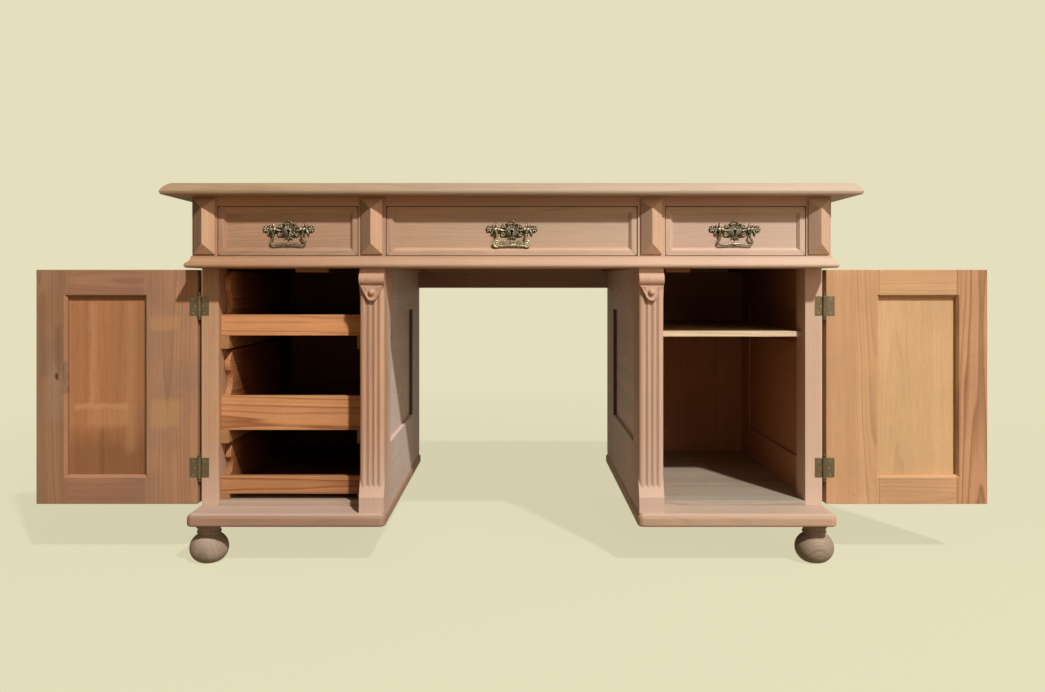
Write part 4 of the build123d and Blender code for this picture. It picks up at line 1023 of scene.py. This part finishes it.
lock_steel = brass_finish("lock_steel", (62, 56, 50), (140, 136, 130), (104, 66, 42), rough=0.5)
for side in ("left", "centre", "right"):
    metalwork(f"{side}_lock_case", solids_of(f"{side}_drawer_lock"), f"{side}_drawer", lock_steel,
              [f"{side}_drawer_lock"], 0.0006)
    metalwork(f"{side}_lock_bolt", solids_of(f"{side}_drawer_bolt"), f"{side}_bolt", lock_steel,
              [f"{side}_drawer_bolt"], 0.0004)


# Stage: pale floor and backdrop of one colour, which keep the shadow of the desk.
# One soft lamp high at the right, a weak one low, faint light all round, and the camera of the photo.

def looked_at(tree):
    """1 where the camera looks, straight or by a mirror or through glass, and 0 for light on its way."""
    rays = add(tree, "LightPath").outputs
    seen = calc(tree, "ADD", rays["Is Camera Ray"], rays["Is Glossy Ray"])
    return calc(tree, "MINIMUM", calc(tree, "ADD", seen, rays["Is Transmission Ray"]), 1.0)


paper = colour(229, 223, 189)
floor_mesh = bpy.data.meshes.new("floor")
floor_mesh.from_pydata([(-14, -9, 0), (14, -9, 0), (14, 14, 0), (-14, 14, 0)], [], [(0, 1, 2, 3)])
floor_finish = bpy.data.materials.new("floor_finish")
floor_finish.use_nodes = True
tree = floor_finish.node_tree
matt = tree.nodes["Principled BSDF"]
matt.inputs["Roughness"].default_value = 0.95
matt.inputs["Specular IOR Level"].default_value = 0.0
seen = looked_at(tree)
tree.links.new(blended(tree, seen, colour(140, 122, 98), paper), matt.inputs["Base Color"])
away = add(tree, "VectorMath", {0: add(tree, "TexCoord").outputs["Object"]}, operation="LENGTH").outputs["Value"]
spread = add(tree, "MapRange", {"Value": away, 1: 0.8, 2: 3.5, 3: 0.82, 4: 1.0}, interpolation_type="SMOOTHSTEP")
share = calc(tree, "MULTIPLY", seen, spread.outputs[0])
glow = add(tree, "Emission", {"Color": paper, "Strength": 1.0})
both = add(tree, "MixShader", {0: share, 1: matt.outputs[0], 2: glow.outputs[0]})
tree.links.new(both.outputs[0], tree.nodes["Material Output"].inputs[0])
floor_mesh.materials.append(floor_finish)
floor = bpy.data.objects.new("floor", floor_mesh)
bpy.context.scene.collection.objects.link(floor)

world = bpy.data.worlds.new("studio")
bpy.context.scene.world = world
world.use_nodes = True
tree = world.node_tree
seen = looked_at(tree)
strength = add(tree, "MapRange", {"Value": seen, 3: 0.14, 4: 1.0}).outputs[0]
tint = blended(tree, seen, (1.0, 0.86, 0.72, 1), paper)
tree.links.new(tint, tree.nodes["Background"].inputs["Color"])
tree.links.new(strength, tree.nodes["Background"].inputs["Strength"])

for name, place, size, power, tint in (("key", (4.2, -8.4, 9.1), 0.5, 1720, (0.96, 0.98, 1.0)),
                                       ("fill", (2.2, -3.2, 1.4), 2.0, 26, (1.0, 0.9, 0.8))):
    lamp_data = bpy.data.lights.new(name, "AREA")
    lamp_data.size = size
    lamp_data.energy = power
    lamp_data.color = tint
    lamp = bpy.data.objects.new(name, lamp_data)
    lamp.location = place
    lamp.rotation_euler = (Vector((0, -0.3, 0.5)) - lamp.location).to_track_quat("-Z", "Y").to_euler()
    bpy.context.scene.collection.objects.link(lamp)

camera_data = bpy.data.cameras.new("camera")
camera_data.lens = 31.49
camera_data.sensor_width = 36
camera_data.shift_x = 0.0043
camera_data.shift_y = -0.0584
camera = bpy.data.objects.new("camera", camera_data)
camera.location = (0.013, -2.1925, 0.575)
camera.rotation_euler = (math.radians(90), 0, 0)
bpy.context.scene.collection.objects.link(camera)
bpy.context.scene.camera = camera
bpy.context.scene.view_settings.view_transform = "Standard"
